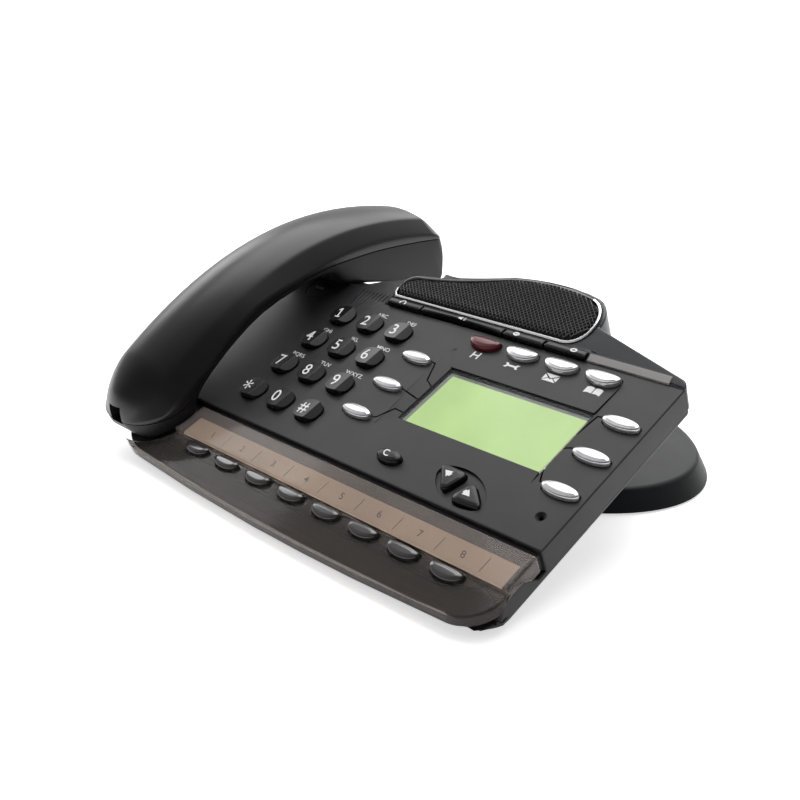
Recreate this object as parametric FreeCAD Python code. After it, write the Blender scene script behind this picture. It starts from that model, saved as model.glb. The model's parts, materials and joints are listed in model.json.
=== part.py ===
import FreeCAD, Part
import math
import os

# Desk telephone with a cradled handset, a sloping key panel and an elliptical stand.
# The housing is drawn in the panel's own frame: x runs along the width from the housing's
# centre, y runs up the panel, z is square to the panel and 0 on its face. to_desk() then
# tilts it onto the desk, where +Z is up, -Y is the user's side and Z = 0 is the desk.
# All lengths are millimetres, all angles degrees.

Vector = FreeCAD.Vector

# ---- how the panel stands on the desk ----
panel_tilt = 22.0
panel_height = 43.0          # desk to panel face, at key 5

# ---- housing ----
housing_half_width = 109.1
panel_front_y = -53.6        # front edge of the opaque panel
panel_rear_y = 34.6          # rear edge of the flat panel, where the speaker pod starts
cradle_rear_y = 51.0         # rear edge of the housing, under the handset
nose_left_x = -47.0           # rear left corner of the housing beside the speaker pod
nose_rear_y = 57.5
nose_step_x = -55.5          # where the rear edge steps forward to the handset's cradle
pod_side_rear_y = 36.5       # rear edge of the housing at its right side
housing_front_y = -91.5      # foremost point of the bowed front
front_bow = 3.0
front_left_corner = 27.0
front_right_corner = 15.5
rear_corner = 6.0
cover_plate = 2.5            # thickness of the panel
front_wall_thickness = 1.4   # wall behind the clear cover's gap
shell_wall = 2.2
seam_depth = 10.0            # panel face to the seam between top and bottom shells
rim_depth = 14.6             # panel face to the underside of the thin rim
belly_depth = 28.0
belly_half_width = 78.0
belly_front_y = -38.0
belly_rear_y = 48.0
belly_corner = 10.0
base_clearance = 2.0         # flat underside of the bottom shell, above the desk
fit_gap = 0.15               # gap between parts that are assembled face to face
key_gap = 0.35               # gap all round a key in its window
part_gap = 0.3               # gap between a lifted part and its seat

lug_y = (-78.0, -57.0)       # finger notch at the right side, from front to rear
lug_top = 4.6

# ---- speaker pod at the rear ----
pod_left_x = -46.2
pod_front_rise = 0.3         # pod surface above the panel at its front edge
pod_middle_y = 46.0
pod_middle_rise = 4.6
pod_back_y = 62.0
pod_back_rise = 8.2
grille_front_y = 40.1
grille_left_x = -42.4
grille_right_x = 60.6
grille_back_y = 63.4
pod_margin = 3.2             # housing beyond the grille, at the rear
nose_flat_x = -24.0          # the pod's low corner behind the grille's left end
nose_flat_y = 44.0
grille_lip = 1.0             # lip round the bright ring where the pod is low
rim_width = 1.2              # bright ring round the grille
rim_proud = 0.7
grille_dome = 2.2            # grille above the pod surface
grille_thickness = 1.4

# ---- front cover, label strip and line keys ----
cover_gap = 2.3              # dark gap between the panel and the clear cover
label_bar_front_y = -71.9
bar_front_wall = 0.8
shelf_plate = 1.5
cover_step = 2.4             # drop from the label bar to the key ledge
cover_wall = 1.8
cover_skirt = 7.0            # panel face to the skirt's lower edge
label_left_x = -69.0
label_right_x = 105.8
label_back_y = -61.0
label_front_y = -70.8
label_thickness = 0.3
line_key_count = 8
line_key_pitch = 19.92
line_key_first_x = -54.4
line_key_y = -75.4
line_key_width = 14.0
line_key_depth = 5.6
line_key_rise = 1.9

# ---- keypad and other keys ----
key_pitch_x = 18.0
key_pitch_y = 18.9
keypad_x = -40.0             # column of keys 2, 5, 8 and 0
key_width = 12.0
key_length = 11.0
key_corner = 4.9
key_rise = 3.0
soft_key_left_x = -2.0
soft_key_right_x = 98.9
soft_key_top_y = 8.7
soft_key_pitch = 18.7
soft_key_width = 15.5
soft_key_depth = 6.0
soft_key_rise = 2.2
function_key_first_x = 20.0
function_key_pitch = 19.4
function_key_y = 27.4
function_key_width = 15.4
function_key_depth = 6.6
clear_key_x = 30.0
clear_key_y = -43.0
clear_key_width = 11.6
clear_key_depth = 6.6
scroll_x = 65.3
scroll_y = -42.8
scroll_recess_width = 28.0
scroll_recess_depth = 15.2
scroll_recess_sink = 1.0
scroll_recess_turn = -20.0
scroll_left_corners = ((50.6, -36.0), (64.8, -36.4), (60.7, -48.8))
scroll_right_corners = ((68.5, -38.2), (64.8, -49.9), (80.2, -48.8))
scroll_key_round = 2.4
scroll_key_rise = 2.0
pod_key_front_y = 34.95
pod_key_back_y = 38.3
pod_key_rise = 2.4
headset_key_x = (-43.6, -23.4)
speaker_key_x = (-22.6, 23.4)
volume_down_key_x = (24.2, 44.6)
volume_up_key_x = (45.4, 65.2)
flange_margin = 0.8          # key flange beyond its window, under the cover
flange_thickness = 1.0
flange_gap = 0.2
key_travel = 1.1
stem_size = 4.0
key_edge = 0.8

# ---- display ----
lcd_left_x = 15.5
lcd_right_x = 86.0
lcd_front_y = -23.7
lcd_back_y = 10.5
lcd_window_thickness = 1.4
lcd_window_sink = 0.8
lcd_ledge = 1.2

# ---- sunk facets and pointer grooves beside the display, ribs beside the tab ----
facet_drop = 0.8             # depth of a facet at the display's edge
facet_left = ((9.8, 21.3), (7.1, 17.3), (7.6, 9.8), (8.1, -7.9), (9.4, -20.9), (9.4, -30.6))
facet_right = ((86.6, 26.8), (89.1, 9.0), (87.2, -1.0), (87.2, -20.0), (86.8, -29.3))
pointer_width = 0.6
pointer_depth = 1.3
pointers = (((5.3, 9.7), (7.6, 9.6), (11.4, -0.1), (15.6, -2.3)),
            ((5.3, -9.1), (15.6, -11.0)),
            ((5.3, -28.2), (7.7, -27.2), (11.1, -19.7), (15.6, -19.8)),
            ((91.2, 10.1), (88.2, 9.5), (86.9, -1.4), (85.9, -1.9)),
            ((91.2, -8.9), (89.1, -8.6), (85.9, -10.4)),
            ((91.2, -27.5), (89.2, -27.4), (85.9, -20.0)))
rib_first_x = -65.4
rib_pitch = 2.3
rib_count = 9
rib_slot_width = 1.1
rib_y = (35.6, 40.2)
rib_depth = 0.7

# ---- message lamp ----
lamp_left_x = 66.2
lamp_right_x = 102.4
lamp_front_y = 35.0
lamp_back_y = 37.9
lamp_depth = 5.0

# ---- microphone hole ----
mic_x = 99.5
mic_y = -41.0
mic_radius = 0.75
mic_cone_radius = 2.2

# ---- circuit board, key mat and loudspeaker ----
mat_top = 8.0                # panel face to the key mat's top
mat_thickness = 1.0
board_thickness = 1.6
board_half_width = 98.0
board_margin = 4.6           # board's edge inside the housing's outline
board_front_gap = 7.3        # board's front edge behind the seam's front wedge
board_rear_y = 32.0
speaker_x = 24.0
speaker_y = 50.2
speaker_length = 50.0
speaker_width = 15.0
speaker_depth = 8.0
speaker_ear_length = 40.0
speaker_ear_front_y = 39.8    # front edge of the ear that lies under the bezel's lip
speaker_ear_thickness = 1.2

# ---- handset, in the panel frame ----
handset_x = -97.0
handset_half_width = 23.0
crown_half_width = 17.5      # from the centre line to the crease beside the crown
handset_wall = 2.2
handset_cup_radius = 20.0
handset_far_corner = 5.0
nose_y = -84.5
far_end_y = 106.0
mouth_cup_bottom = -2.8
mouth_cup_y = -61.0
mouth_cup_front_y = -79.0
ear_cup_front_y = 37.0
ear_cup_rear_y = 97.0
ear_cup_bottom = 2.8         # height of the ear cup's bottom at its front
ear_cup_slope = 0.6
grip_top = 36.5
grip_under = 17.5
jack_y = -76.2
jack_z = 9.3
jack_body = (12.0, 13.0, 11.4)
jack_floor = 1.2
jack_mouth = (7.9, 6.9)
jack_tab = (3.4, 1.8)
jack_depth = 9.0
receiver_radius = 15.0
receiver_thickness = 8.0
receiver_y = 70.0
transmitter_radius = 5.0
transmitter_thickness = 4.0
lift_height = 120.0

# ---- cradle, hook plunger and retaining tab ----
cup_gap = 0.9
plunger_y = -66.0
plunger_radius = 4.0
plunger_flange_radius = 5.2
plunger_rise = 3.5
cradle_plate = 2.0
seat_side_gap = 0.9          # room beside the ear cup
seat_corner_y = 40.0         # where the seat's side turns towards the pod
tab_x = -88.5
tab_y = 33.6
tab_radius = 7.5
tab_sink = 1.5
tab_lug = (6.0, 2.0, 1.0)
tab_pin_radius = 1.6

# ---- desk stand, feet and screws ----
stand_half_width = 103.6
stand_half_depth = 64.9
stand_centre_y = 58.5        # behind key 5, measured along the desk
stand_thickness = 8.6
stand_inset = 5.1            # how far the top edge stands inside the bottom edge
stand_wall = 2.6
stand_lift = 0.8             # stand's underside above the desk, on its pads
pedestal_width = 96.0
pedestal_depth = 44.0
pedestal_corner = 14.0
clip_width = 14.0
foot_radius = 6.0
front_foot_x = 74.0
front_foot_setback = 6.7     # feet behind the seam's front wedge
pad_radius = 7.0
pad_thickness = 2.0
pad_x = 64.0
pad_y = 27.0
screw_x = 95.0
screw_right_y = (26.0, -48.0)
screw_left_y = (15.0, -32.0)
screw_radius = 1.4
screw_head_radius = 2.9
screw_head_height = 1.5
screw_top = 4.5
post_radius = 3.6

# ---- sockets on the rear of the belly ----
line_socket_x = -30.0
handset_socket_x = -54.0
line_socket_width = 15.4
handset_socket_width = 11.6
socket_length = 15.0
socket_floor = 1.5
line_socket_mouth = (11.9, 6.9)
handset_socket_mouth = (7.9, 6.9)
line_socket_tab = (5.6, 1.8)
socket_depth = 10.0
board_tab_x = (-66.0, -18.0)
board_tab_rear_y = 44.6

# ---- values that follow from the ones above ----
tilt = math.radians(panel_tilt)
handset_overhang = handset_half_width - handset_x - housing_half_width
housing_shift_x = handset_overhang / 2
front_reach = -housing_front_y * math.cos(tilt) - cover_step * math.sin(tilt)
key_row_y = (front_reach - stand_centre_y - stand_half_depth) / 2
mat_bottom = mat_top + mat_thickness
board_bottom = mat_bottom + board_thickness
floor_depth = rim_depth - shell_wall
cover_front_y = panel_front_y - cover_gap
ledge_top = cover_step + cover_wall
shelf_top = -cover_wall - label_thickness - fit_gap
shelf_front_y = label_bar_front_y + bar_front_wall + fit_gap
ledge_front_y = (base_clearance - panel_height + seam_depth * math.cos(tilt)) / math.sin(tilt) + 1
socket_bottom = -belly_depth + shell_wall + fit_gap
board_front_y = ledge_front_y + board_front_gap
front_foot_y = ledge_front_y + front_foot_setback


def box(x0, x1, y0, y1, z0, z1):
    return Part.makeBox(x1 - x0, y1 - y0, z1 - z0, Vector(x0, y0, z0))


def cylinder(x, y, z0, z1, radius):
    return Part.makeCylinder(radius, z1 - z0, Vector(x, y, z0))


def path(start, *steps):
    """Closed flat face: a step is a corner (x, y) or an arc (through, end)."""
    edges = []
    here = Vector(*start)
    for step in steps + (start,):
        if isinstance(step[0], tuple):
            end = Vector(*step[1])
            edges.append(Part.Arc(here, Vector(*step[0]), end).toShape())
        else:
            end = Vector(*step)
            if end.distanceToPoint(here) > 1e-6:
                edges.append(Part.LineSegment(here, end).toShape())
        here = end
    return Part.Face(Part.Wire(edges))


def rounded_rectangle(x, y, width, depth, corner):
    a = width / 2 - corner
    b = depth / 2 - corner
    s = corner * math.sqrt(0.5)
    w = width / 2
    d = depth / 2
    return path((x - a, y - d), (x + a, y - d), ((x + a + s, y - b - s), (x + w, y - b)),
                (x + w, y + b), ((x + a + s, y + b + s), (x + a, y + d)), (x - a, y + d),
                ((x - a - s, y + b + s), (x - w, y + b)), (x - w, y - b),
                ((x - a - s, y - b - s), (x - a, y - d)))


def oval(x, y, width, depth, turn=0.0):
    """Four tangent arcs: small ones at the ends and long ones at the front and rear."""
    a = width / 2
    b = depth / 2
    r = 0.55 * b
    k = ((a - r) ** 2 - (b - r) ** 2) / (2 * (b - r))
    reach = (b + k) / math.hypot(a - r, k)
    tx = (a - r) * reach
    ty = k * reach - k
    face = path((x + tx, y - ty), ((x + a, y), (x + tx, y + ty)), ((x, y + b), (x - tx, y + ty)),
                ((x - a, y), (x - tx, y - ty)), ((x, y - b), (x + tx, y - ty)))
    face.rotate(Vector(x, y, 0), Vector(0, 0, 1), turn)
    return face


def half_moon(x, y, width, depth):
    """A key with a straight rear edge and a bowed front edge."""
    w = width / 2
    d = depth / 2
    r = 0.28 * depth
    return path((x - w + r, y + d), ((x - w, y + d - r), (x - w + 0.5 * r, y + d - 2 * r)),
                ((x, y - d), (x + w - 0.5 * r, y + d - 2 * r)), ((x + w, y + d - r), (x + w - r, y + d)))


def grown(face, margin):
    return face.makeOffset2D(margin) if abs(margin) > 1e-9 else face


def prism(face, z0, z1):
    lower = face.copy()
    lower.translate(Vector(0, 0, z0))
    return lower.extrude(Vector(0, 0, z1 - z0))


def slab_across(profile, x0, x1):
    """Solid of a closed (y, z) profile face drawn as (x, y), running from x0 to x1."""
    solid = profile.extrude(Vector(0, 0, x1 - x0))
    turn = FreeCAD.Matrix(0, 0, 1, x0, 1, 0, 0, 0, 0, 1, 0, 0, 0, 0, 0, 1)
    return solid.transformed(turn)


def edges_at(solid, z):
    return [e for e in solid.Edges if abs(e.BoundBox.ZMin - z) < 1e-4 and abs(e.BoundBox.ZMax - z) < 1e-4]


def softened(solid, z, size):
    return solid.makeChamfer(size, edges_at(solid, z))


def to_desk(shape):
    placed = shape.copy()
    placed.rotate(Vector(0, 0, 0), Vector(1, 0, 0), panel_tilt)
    placed.translate(Vector(housing_shift_x, key_row_y, panel_height))
    return placed


def below_desk_level(height):
    """Everything lower than a height above the desk, already on the desk's frame."""
    return box(-300, 300, -300, 300, -300, height)


def save(name, *shapes):
    solids = [solid for shape in shapes for solid in shape.Solids]
    for solid in solids:
        if not solid.isValid():
            print("not valid:", name)
    result = solids[0] if len(solids) == 1 else Part.makeCompound(solids)
    result.exportStep("parts/" + name + ".step")
    print(name, len(solids), round(sum(s.Volume for s in solids)))


# ---- outlines in the panel's plane ----

def grille_outline():
    low = grille_front_y
    high = grille_back_y
    left = grille_left_x
    right = grille_right_x
    return path((left + 1.5, low), (right - 11, low), ((right - 2.4, low + 3.4), (right, low + 10)),
                ((right - 2.2, low + 16.4), (right - 8.2, low + 20.6)),
                ((right - 27, high), (right - 50, high - 2.4)),
                ((left + 34, high - 8.6), (left + 8, low + 10)),
                ((left + 1.2, low + 6.4), (left, low + 1.6)),
                ((left + 0.4, low + 0.4), (left + 1.5, low)))


def housing_outline():
    half = housing_half_width
    low = housing_front_y
    shoulder = low + front_bow
    rl = front_left_corner
    rr = front_right_corner
    rb = rear_corner
    s = 1 - math.sqrt(0.5)
    plan = path((rl - half, shoulder), ((0, low), (half - rr, shoulder)),
                ((half - rr * s, shoulder + rr * s), (half, shoulder + rr)),
                (half, pod_side_rear_y - 2),
                ((half - 0.9, pod_side_rear_y + 0.9), (half - 3, pod_side_rear_y + 2)),
                (grille_right_x + 2, cradle_rear_y - 1.5), (nose_left_x + 12, nose_rear_y),
                (nose_left_x, nose_rear_y), (nose_step_x, cradle_rear_y), (rb - half, cradle_rear_y),
                ((rb * s - half, cradle_rear_y - rb * s), (-half, cradle_rear_y - rb)),
                (-half, shoulder + rl), ((rl * s - half, shoulder + rl * s), (rl - half, shoulder)))
    pod = grown(grille_outline(), pod_margin)
    return plan.fuse(pod).removeSplitter().Faces[0]


HOUSING = housing_outline()
HOUSING_INSIDE = grown(HOUSING, -shell_wall)


def region(x0, x1, y0, y1):
    return box(x0, x1, y0, y1, -100, 100)


def pod_profile(raise_top, bottom):
    """Cross-section of the pod: its curved top, raised, down to a level z = bottom."""
    y0 = panel_rear_y - 2
    y3 = pod_back_y + 12
    z0 = pod_front_rise - 2 * (pod_middle_rise - pod_front_rise) / (pod_middle_y - panel_rear_y)
    z3 = pod_back_rise + 0.8
    return path((y0, bottom), (y3, bottom), (y3, z3 + raise_top - 1.6),
                ((pod_back_y, pod_back_rise + raise_top), (pod_middle_y, pod_middle_rise + raise_top)),
                ((0.5 * (pod_middle_y + y0) + 0.15, 0.5 * (pod_middle_rise + z0) + raise_top + 0.15),
                 (y0, z0 + raise_top)))


def pod_slab(raise_top, bottom):
    return slab_across(pod_profile(raise_top, bottom), -housing_half_width - 20, housing_half_width + 20)


# ---- key shapes ----

def pad_key(x, y):
    return rounded_rectangle(x, y, key_width, key_length, key_corner)


def soft_key(x, y):
    return oval(x, y, soft_key_width, soft_key_depth)


def function_key(x, y):
    return half_moon(x, y, function_key_width, function_key_depth)


def clear_key(x, y):
    return oval(x, y, clear_key_width, clear_key_depth)


def scroll_key(corners):
    """Rounded triangle: one half of the split oval in the recess."""
    return grown(grown(path(*corners), -scroll_key_round), scroll_key_round)


def pod_key(x_range):
    x0, x1 = x_range
    return path((x0, pod_key_front_y), (x1, pod_key_front_y), (x1, pod_key_back_y), (x0, pod_key_back_y))


def line_key(x, y):
    return half_moon(x, y, line_key_width, line_key_depth)


def key_table():
    """Every key as name: (outline, height of its top, underside of the wall it passes)."""
    keys = {}
    names = (("1", "2", "3"), ("4", "5", "6"), ("7", "8", "9"), ("star", "0", "hash"))
    for row, labels in enumerate(names):
        for column, label in enumerate(labels):
            outline = pad_key(keypad_x + (column - 1) * key_pitch_x, (1 - row) * key_pitch_y)
            keys["key_" + label] = (outline, key_rise, -cover_plate)
    for row in range(3):
        y = soft_key_top_y - row * soft_key_pitch
        keys["soft_key_left_%d" % (row + 1)] = (soft_key(soft_key_left_x, y), soft_key_rise, -cover_plate)
        keys["soft_key_right_%d" % (row + 1)] = (soft_key(soft_key_right_x, y), soft_key_rise, -cover_plate)
    for column, label in enumerate(("hold", "program", "message", "directory")):
        x = function_key_first_x + column * function_key_pitch
        keys[label + "_key"] = (function_key(x, function_key_y), soft_key_rise, -cover_plate)
    keys["clear_key"] = (clear_key(clear_key_x, clear_key_y), soft_key_rise, -cover_plate)
    for label, corners in (("left", scroll_left_corners), ("right", scroll_right_corners)):
        rise = scroll_key_rise - scroll_recess_sink
        keys["scroll_%s_key" % label] = (scroll_key(corners), rise, -cover_plate)
    for label, span in (("headset", headset_key_x), ("speaker", speaker_key_x),
                        ("volume_down", volume_down_key_x), ("volume_up", volume_up_key_x)):
        keys[label + "_key"] = (pod_key(span), pod_key_rise, -cover_plate)
    for number in range(line_key_count):
        x = line_key_first_x + number * line_key_pitch
        outline = line_key(x, line_key_y)
        keys["line_key_%d" % (number + 1)] = (outline, line_key_rise - cover_step, -ledge_top)
    return keys


KEYS = key_table()


def key_solid(outline, top, underside, in_row):
    """A cap with a stem and a flange under the cover: front and rear, or front only in the pod's row."""
    cap_bottom = underside - flange_gap
    cap = softened(prism(outline, cap_bottom, top), top, key_edge)
    bounds = outline.BoundBox
    reach = key_gap + flange_margin
    if in_row:
        flange = box(bounds.XMin, bounds.XMax, bounds.YMin - reach, bounds.YMax,
                     cap_bottom - flange_thickness, cap_bottom)
    else:
        flange = prism(grown(outline, reach), cap_bottom - flange_thickness, cap_bottom)
        flange = flange.common(region(bounds.XMin, bounds.XMax, -300, 300))
    x = bounds.Center.x
    y = bounds.Center.y
    half = stem_size / 2
    stem_bottom = -mat_top + key_travel + flange_gap
    stem = box(x - half, x + half, y - half, y + half, stem_bottom, cap_bottom)
    return cap.fuse([flange, stem]).removeSplitter()


def key_windows(names, z0, z1):
    return [prism(grown(KEYS[name][0], key_gap), z0, z1) for name in names]


LINE_KEYS = [name for name in KEYS if name.startswith("line_key")]
POD_KEYS = ["headset_key", "speaker_key", "volume_down_key", "volume_up_key"]
PANEL_KEYS = [name for name in KEYS if name not in LINE_KEYS + POD_KEYS]


# ---- places shared by several parts ----

def screw_places():
    places = [(screw_x, y) for y in screw_right_y]
    return places + [(-screw_x, y) for y in screw_left_y]


def cradle_ramp(drop, growth):
    """The room above the ear cup's seat, which slopes down to the rear and widens towards the pod."""
    y0 = ear_cup_front_y
    z0 = ear_cup_bottom - drop
    y1 = cradle_rear_y + 60
    z1 = z0 - ear_cup_slope * (y1 - y0)
    slab = slab_across(path((y0, z0), (y1, z1), (y1, 60), (y0, 60)), -housing_half_width - 30, 0)
    left = -housing_half_width - 20
    right = handset_x + handset_half_width + seat_side_gap
    plan = path((left, y0 - 10), (right, y0 - 10), (right, seat_corner_y),
                (nose_step_x - 1.5, cradle_rear_y), (nose_step_x - 1.5, y1), (left, y1))
    return slab.common(prism(grown(plan, growth), -100, 100))


def cup_room(growth, z0, z1):
    """Room for the mouth cup at the front of the housing, in front of the flat panel."""
    plan = grown(handset_plan(0), cup_gap + growth)
    return prism(plan, z0, z1).common(region(-300, 300, -300, panel_front_y + growth))


# ---- details of the panel's face ----

def facet_room(edge_points, edge_x):
    """Wedge that sinks from an outer edge line down to the display's edge."""
    corners = list(edge_points) + [(edge_x, lcd_front_y), (edge_x, lcd_back_y)]
    outer_x = edge_points[2][0]
    slope = facet_drop / abs(edge_x - outer_x)
    side = 1 if edge_x > outer_x else -1
    reach = side * 30
    wedge = path((outer_x, 0.01), (outer_x + reach, -30 * slope), (outer_x + reach, 5), (outer_x, 5))
    bar = wedge.extrude(Vector(0, 0, 200))
    bar.rotate(Vector(0, 0, 0), Vector(1, 0, 0), 90)
    bar.translate(Vector(0, 100, 0))
    return bar.common(prism(path(*corners), -5, 5))


def groove(points):
    """Narrow slot along a line of points, round at its bends."""
    half = pointer_width / 2
    pieces = []
    for (x0, y0), (x1, y1) in zip(points, points[1:]):
        length = math.hypot(x1 - x0, y1 - y0)
        run = box(0, length, -half, half, -pointer_depth, 2)
        run.rotate(Vector(0, 0, 0), Vector(0, 0, 1), math.degrees(math.atan2(y1 - y0, x1 - x0)))
        run.translate(Vector(x0, y0, 0))
        pieces.append(run)
    pieces += [cylinder(x, y, -pointer_depth, 2, half) for x, y in points[1:-1]]
    return pieces[0].fuse(pieces[1:]) if len(pieces) > 1 else pieces[0]


def face_details():
    rooms = [facet_room(facet_left, lcd_left_x), facet_room(facet_right, lcd_right_x)]
    rooms += [groove(points) for points in pointers]
    for k in range(rib_count):
        x = rib_first_x + k * rib_pitch
        rooms.append(box(x, x + rib_slot_width, rib_y[0], rib_y[1], -rib_depth, 2))
    return rooms


# ---- housing parts ----

def front_ledge():
    """What the top shell has under the clear cover: a label shelf and a ring that carries the cover."""
    tuck = grown(HOUSING, -cover_wall - fit_gap)
    front = region(-300, 300, -300, panel_front_y)
    ring = prism(tuck, -seam_depth, shelf_top).cut(prism(grown(tuck, -shell_wall), -60, 60)).common(front)
    wedge = prism(tuck, -seam_depth, -mat_top).common(region(-300, 300, -300, ledge_front_y))
    ring = ring.fuse(wedge).cut(box(-300, 300, -300, shelf_front_y, -ledge_top - fit_gap, 50))
    shelf = prism(tuck, shelf_top - shelf_plate, shelf_top)
    return ring.fuse(shelf.common(region(-300, 300, shelf_front_y, panel_front_y)))


def ear_seat():
    """Sloping skin and side wall under the ear cup, at the housing's rear left corner."""
    skin = cradle_ramp(part_gap + shell_wall, shell_wall).cut(cradle_ramp(part_gap, 0))
    return skin.common(prism(HOUSING, -seam_depth, 0))


def build_top_cover():
    """Panel with side walls; the pod's area at the rear is left to the bezel."""
    shell = prism(HOUSING, -seam_depth, 0).cut(prism(HOUSING_INSIDE, -seam_depth - 1, -cover_plate))
    shell = shell.cut([region(pod_left_x, 300, panel_rear_y, 300), region(-300, 300, -300, panel_front_y)])
    front_wall = prism(HOUSING, -mat_top + 0.4, 0)
    front_wall = front_wall.common(region(-300, 300, panel_front_y, panel_front_y + front_wall_thickness))
    cup_floor = mouth_cup_bottom - part_gap
    cup_rim = cup_room(shell_wall, cup_floor - cradle_plate - shelf_plate, -ledge_top - fit_gap)
    cup_seat = cup_room(-fit_gap, cup_floor - cradle_plate, cup_floor).fuse(cup_rim)
    cup_seat = cup_seat.common(prism(grown(HOUSING, -cover_wall - fit_gap), -60, 60))
    posts = [cylinder(x, y, -floor_depth, -cover_plate + 0.5, post_radius) for x, y in screw_places()]
    cover = shell.fuse([front_wall, front_ledge(), cup_seat, ear_seat()] + posts).removeSplitter()
    holes = key_windows(PANEL_KEYS, -20, 20)
    holes.append(cup_room(0, cup_floor, 50))
    holes.append(cradle_ramp(part_gap, 0))
    holes.append(lcd_room(-lcd_ledge, -20, 20))
    holes.append(lcd_room(0, -lcd_window_sink - lcd_window_thickness, 20))
    recess = oval(scroll_x, scroll_y, scroll_recess_width, scroll_recess_depth, scroll_recess_turn)
    holes.append(prism(recess, -scroll_recess_sink, 20))
    holes.append(cylinder(mic_x, mic_y, -20, 20, mic_radius))
    holes.append(Part.makeCone(mic_radius, mic_cone_radius, 1.2, Vector(mic_x, mic_y, -1.2)))
    holes.append(cylinder(handset_x, plunger_y, -20, 20, plunger_radius + key_gap))
    flange_room = plunger_flange_radius + part_gap
    holes.append(cylinder(handset_x, plunger_y, -20, cup_floor - cradle_plate, flange_room))
    holes.append(cylinder(tab_x, tab_y, -tab_sink, 20, tab_radius + part_gap))
    holes.append(cylinder(tab_x, tab_y, -20, 20, tab_pin_radius + 0.05))
    holes.append(side_lug(fit_gap))
    holes += face_details()
    holes += [cylinder(x, y, -20, -screw_top, screw_radius + 0.05) for x, y in screw_places()]
    cover = cover.cut(holes)
    return to_desk(cover).cut(below_desk_level(base_clearance))


def nose_room(wall, lip):
    """Everything above the pod's low corner behind the grille's left end."""
    room = box(pod_left_x - 1, nose_flat_x + wall, nose_flat_y - wall, nose_rear_y + 20,
               pod_front_rise - wall, 60)
    return room.cut(prism(grown(grille_outline(), lip), -20, 60))


def build_bezel():
    body = prism(HOUSING, -seam_depth, 30).common(region(pod_left_x, 300, panel_rear_y + fit_gap, 300))
    outer = body.common(pod_slab(0, -seam_depth)).cut(nose_room(0, rim_width + fit_gap + grille_lip))
    inside = prism(HOUSING_INSIDE, -seam_depth - 1, 30).common(pod_slab(-shell_wall, -seam_depth - 1))
    bezel = outer.cut(inside.cut(nose_room(shell_wall, rim_width - grille_lip)))
    ring = grown(grille_outline(), rim_width + fit_gap)
    holes = [prism(grown(grille_outline(), -1.5), -20, 30)]
    holes.append(prism(ring, -20, 30).common(pod_slab(30, -20)).cut(pod_slab(-1.2, -20)))
    holes.append(box(headset_key_x[0] - key_gap, volume_up_key_x[1] + key_gap,
                     panel_rear_y - 1, pod_key_back_y + key_gap, -seam_depth + 1.5, 20))
    holes.append(box(lamp_left_x - fit_gap, lamp_right_x + fit_gap,
                     panel_rear_y - 1, lamp_back_y + fit_gap, -lamp_depth - fit_gap, 20))
    return bezel.cut(holes)


def build_grille_rim():
    ring = grown(grille_outline(), rim_width).cut(grown(grille_outline(), fit_gap))
    return prism(ring, -20, 30).common(pod_slab(rim_proud, -20)).cut(pod_slab(-1.2, -20))


def build_grille():
    plan = grille_outline()
    outer = prism(plan, -20, 30).common(pod_slab(rim_proud, -20))
    crown = prism(grown(plan, -2.2), -20, 30).common(pod_slab(grille_dome, -20))
    outer = outer.fuse(crown)
    inner = prism(grown(plan, -1.6), -20, 30).common(pod_slab(rim_proud - grille_thickness, -20))
    inner_crown = prism(grown(plan, -3.6), -20, 30).common(pod_slab(grille_dome - grille_thickness, -20))
    return outer.cut([inner, inner_crown]).cut(pod_slab(-1.2, -20))


def build_clear_cover():
    front = region(-300, 300, -300, cover_front_y)
    outer = prism(HOUSING, -cover_skirt, 0).common(front)
    outer = outer.cut(box(-300, 300, -300, label_bar_front_y, -cover_step, 10))
    inside = grown(HOUSING, -cover_wall)
    bar_room = prism(inside, -cover_skirt - 1, -cover_wall)
    bar_room = bar_room.common(region(-300, 300, label_bar_front_y + bar_front_wall, 300))
    low_room = prism(inside, -cover_skirt - 1, -ledge_top)
    cover = outer.cut([bar_room, low_room, cup_room(0, -50, 50), side_lug(fit_gap)])
    return cover.cut(key_windows(LINE_KEYS, -20, 20))


def build_label_strip():
    top = -cover_wall - fit_gap / 2
    return box(label_left_x, label_right_x, label_front_y, label_back_y, top - label_thickness, top)


def side_lug(growth):
    """Finger notch at the right side: the bottom shell rises in an S-curve beside the cover's end."""
    low = -seam_depth - 0.5 - growth
    top = -lug_top + growth
    profile = path((lug_y[0] - growth, low), ((lug_y[0] + 2.5, top - 2.0), (lug_y[0] + 7, top)),
                   (lug_y[1] - 7.5, top), ((lug_y[1] - 4, top - 2.2), (lug_y[1] + growth, low)))
    x = housing_half_width - 0.6
    return slab_across(profile, x - shell_wall - growth, x + growth * 20)


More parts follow.
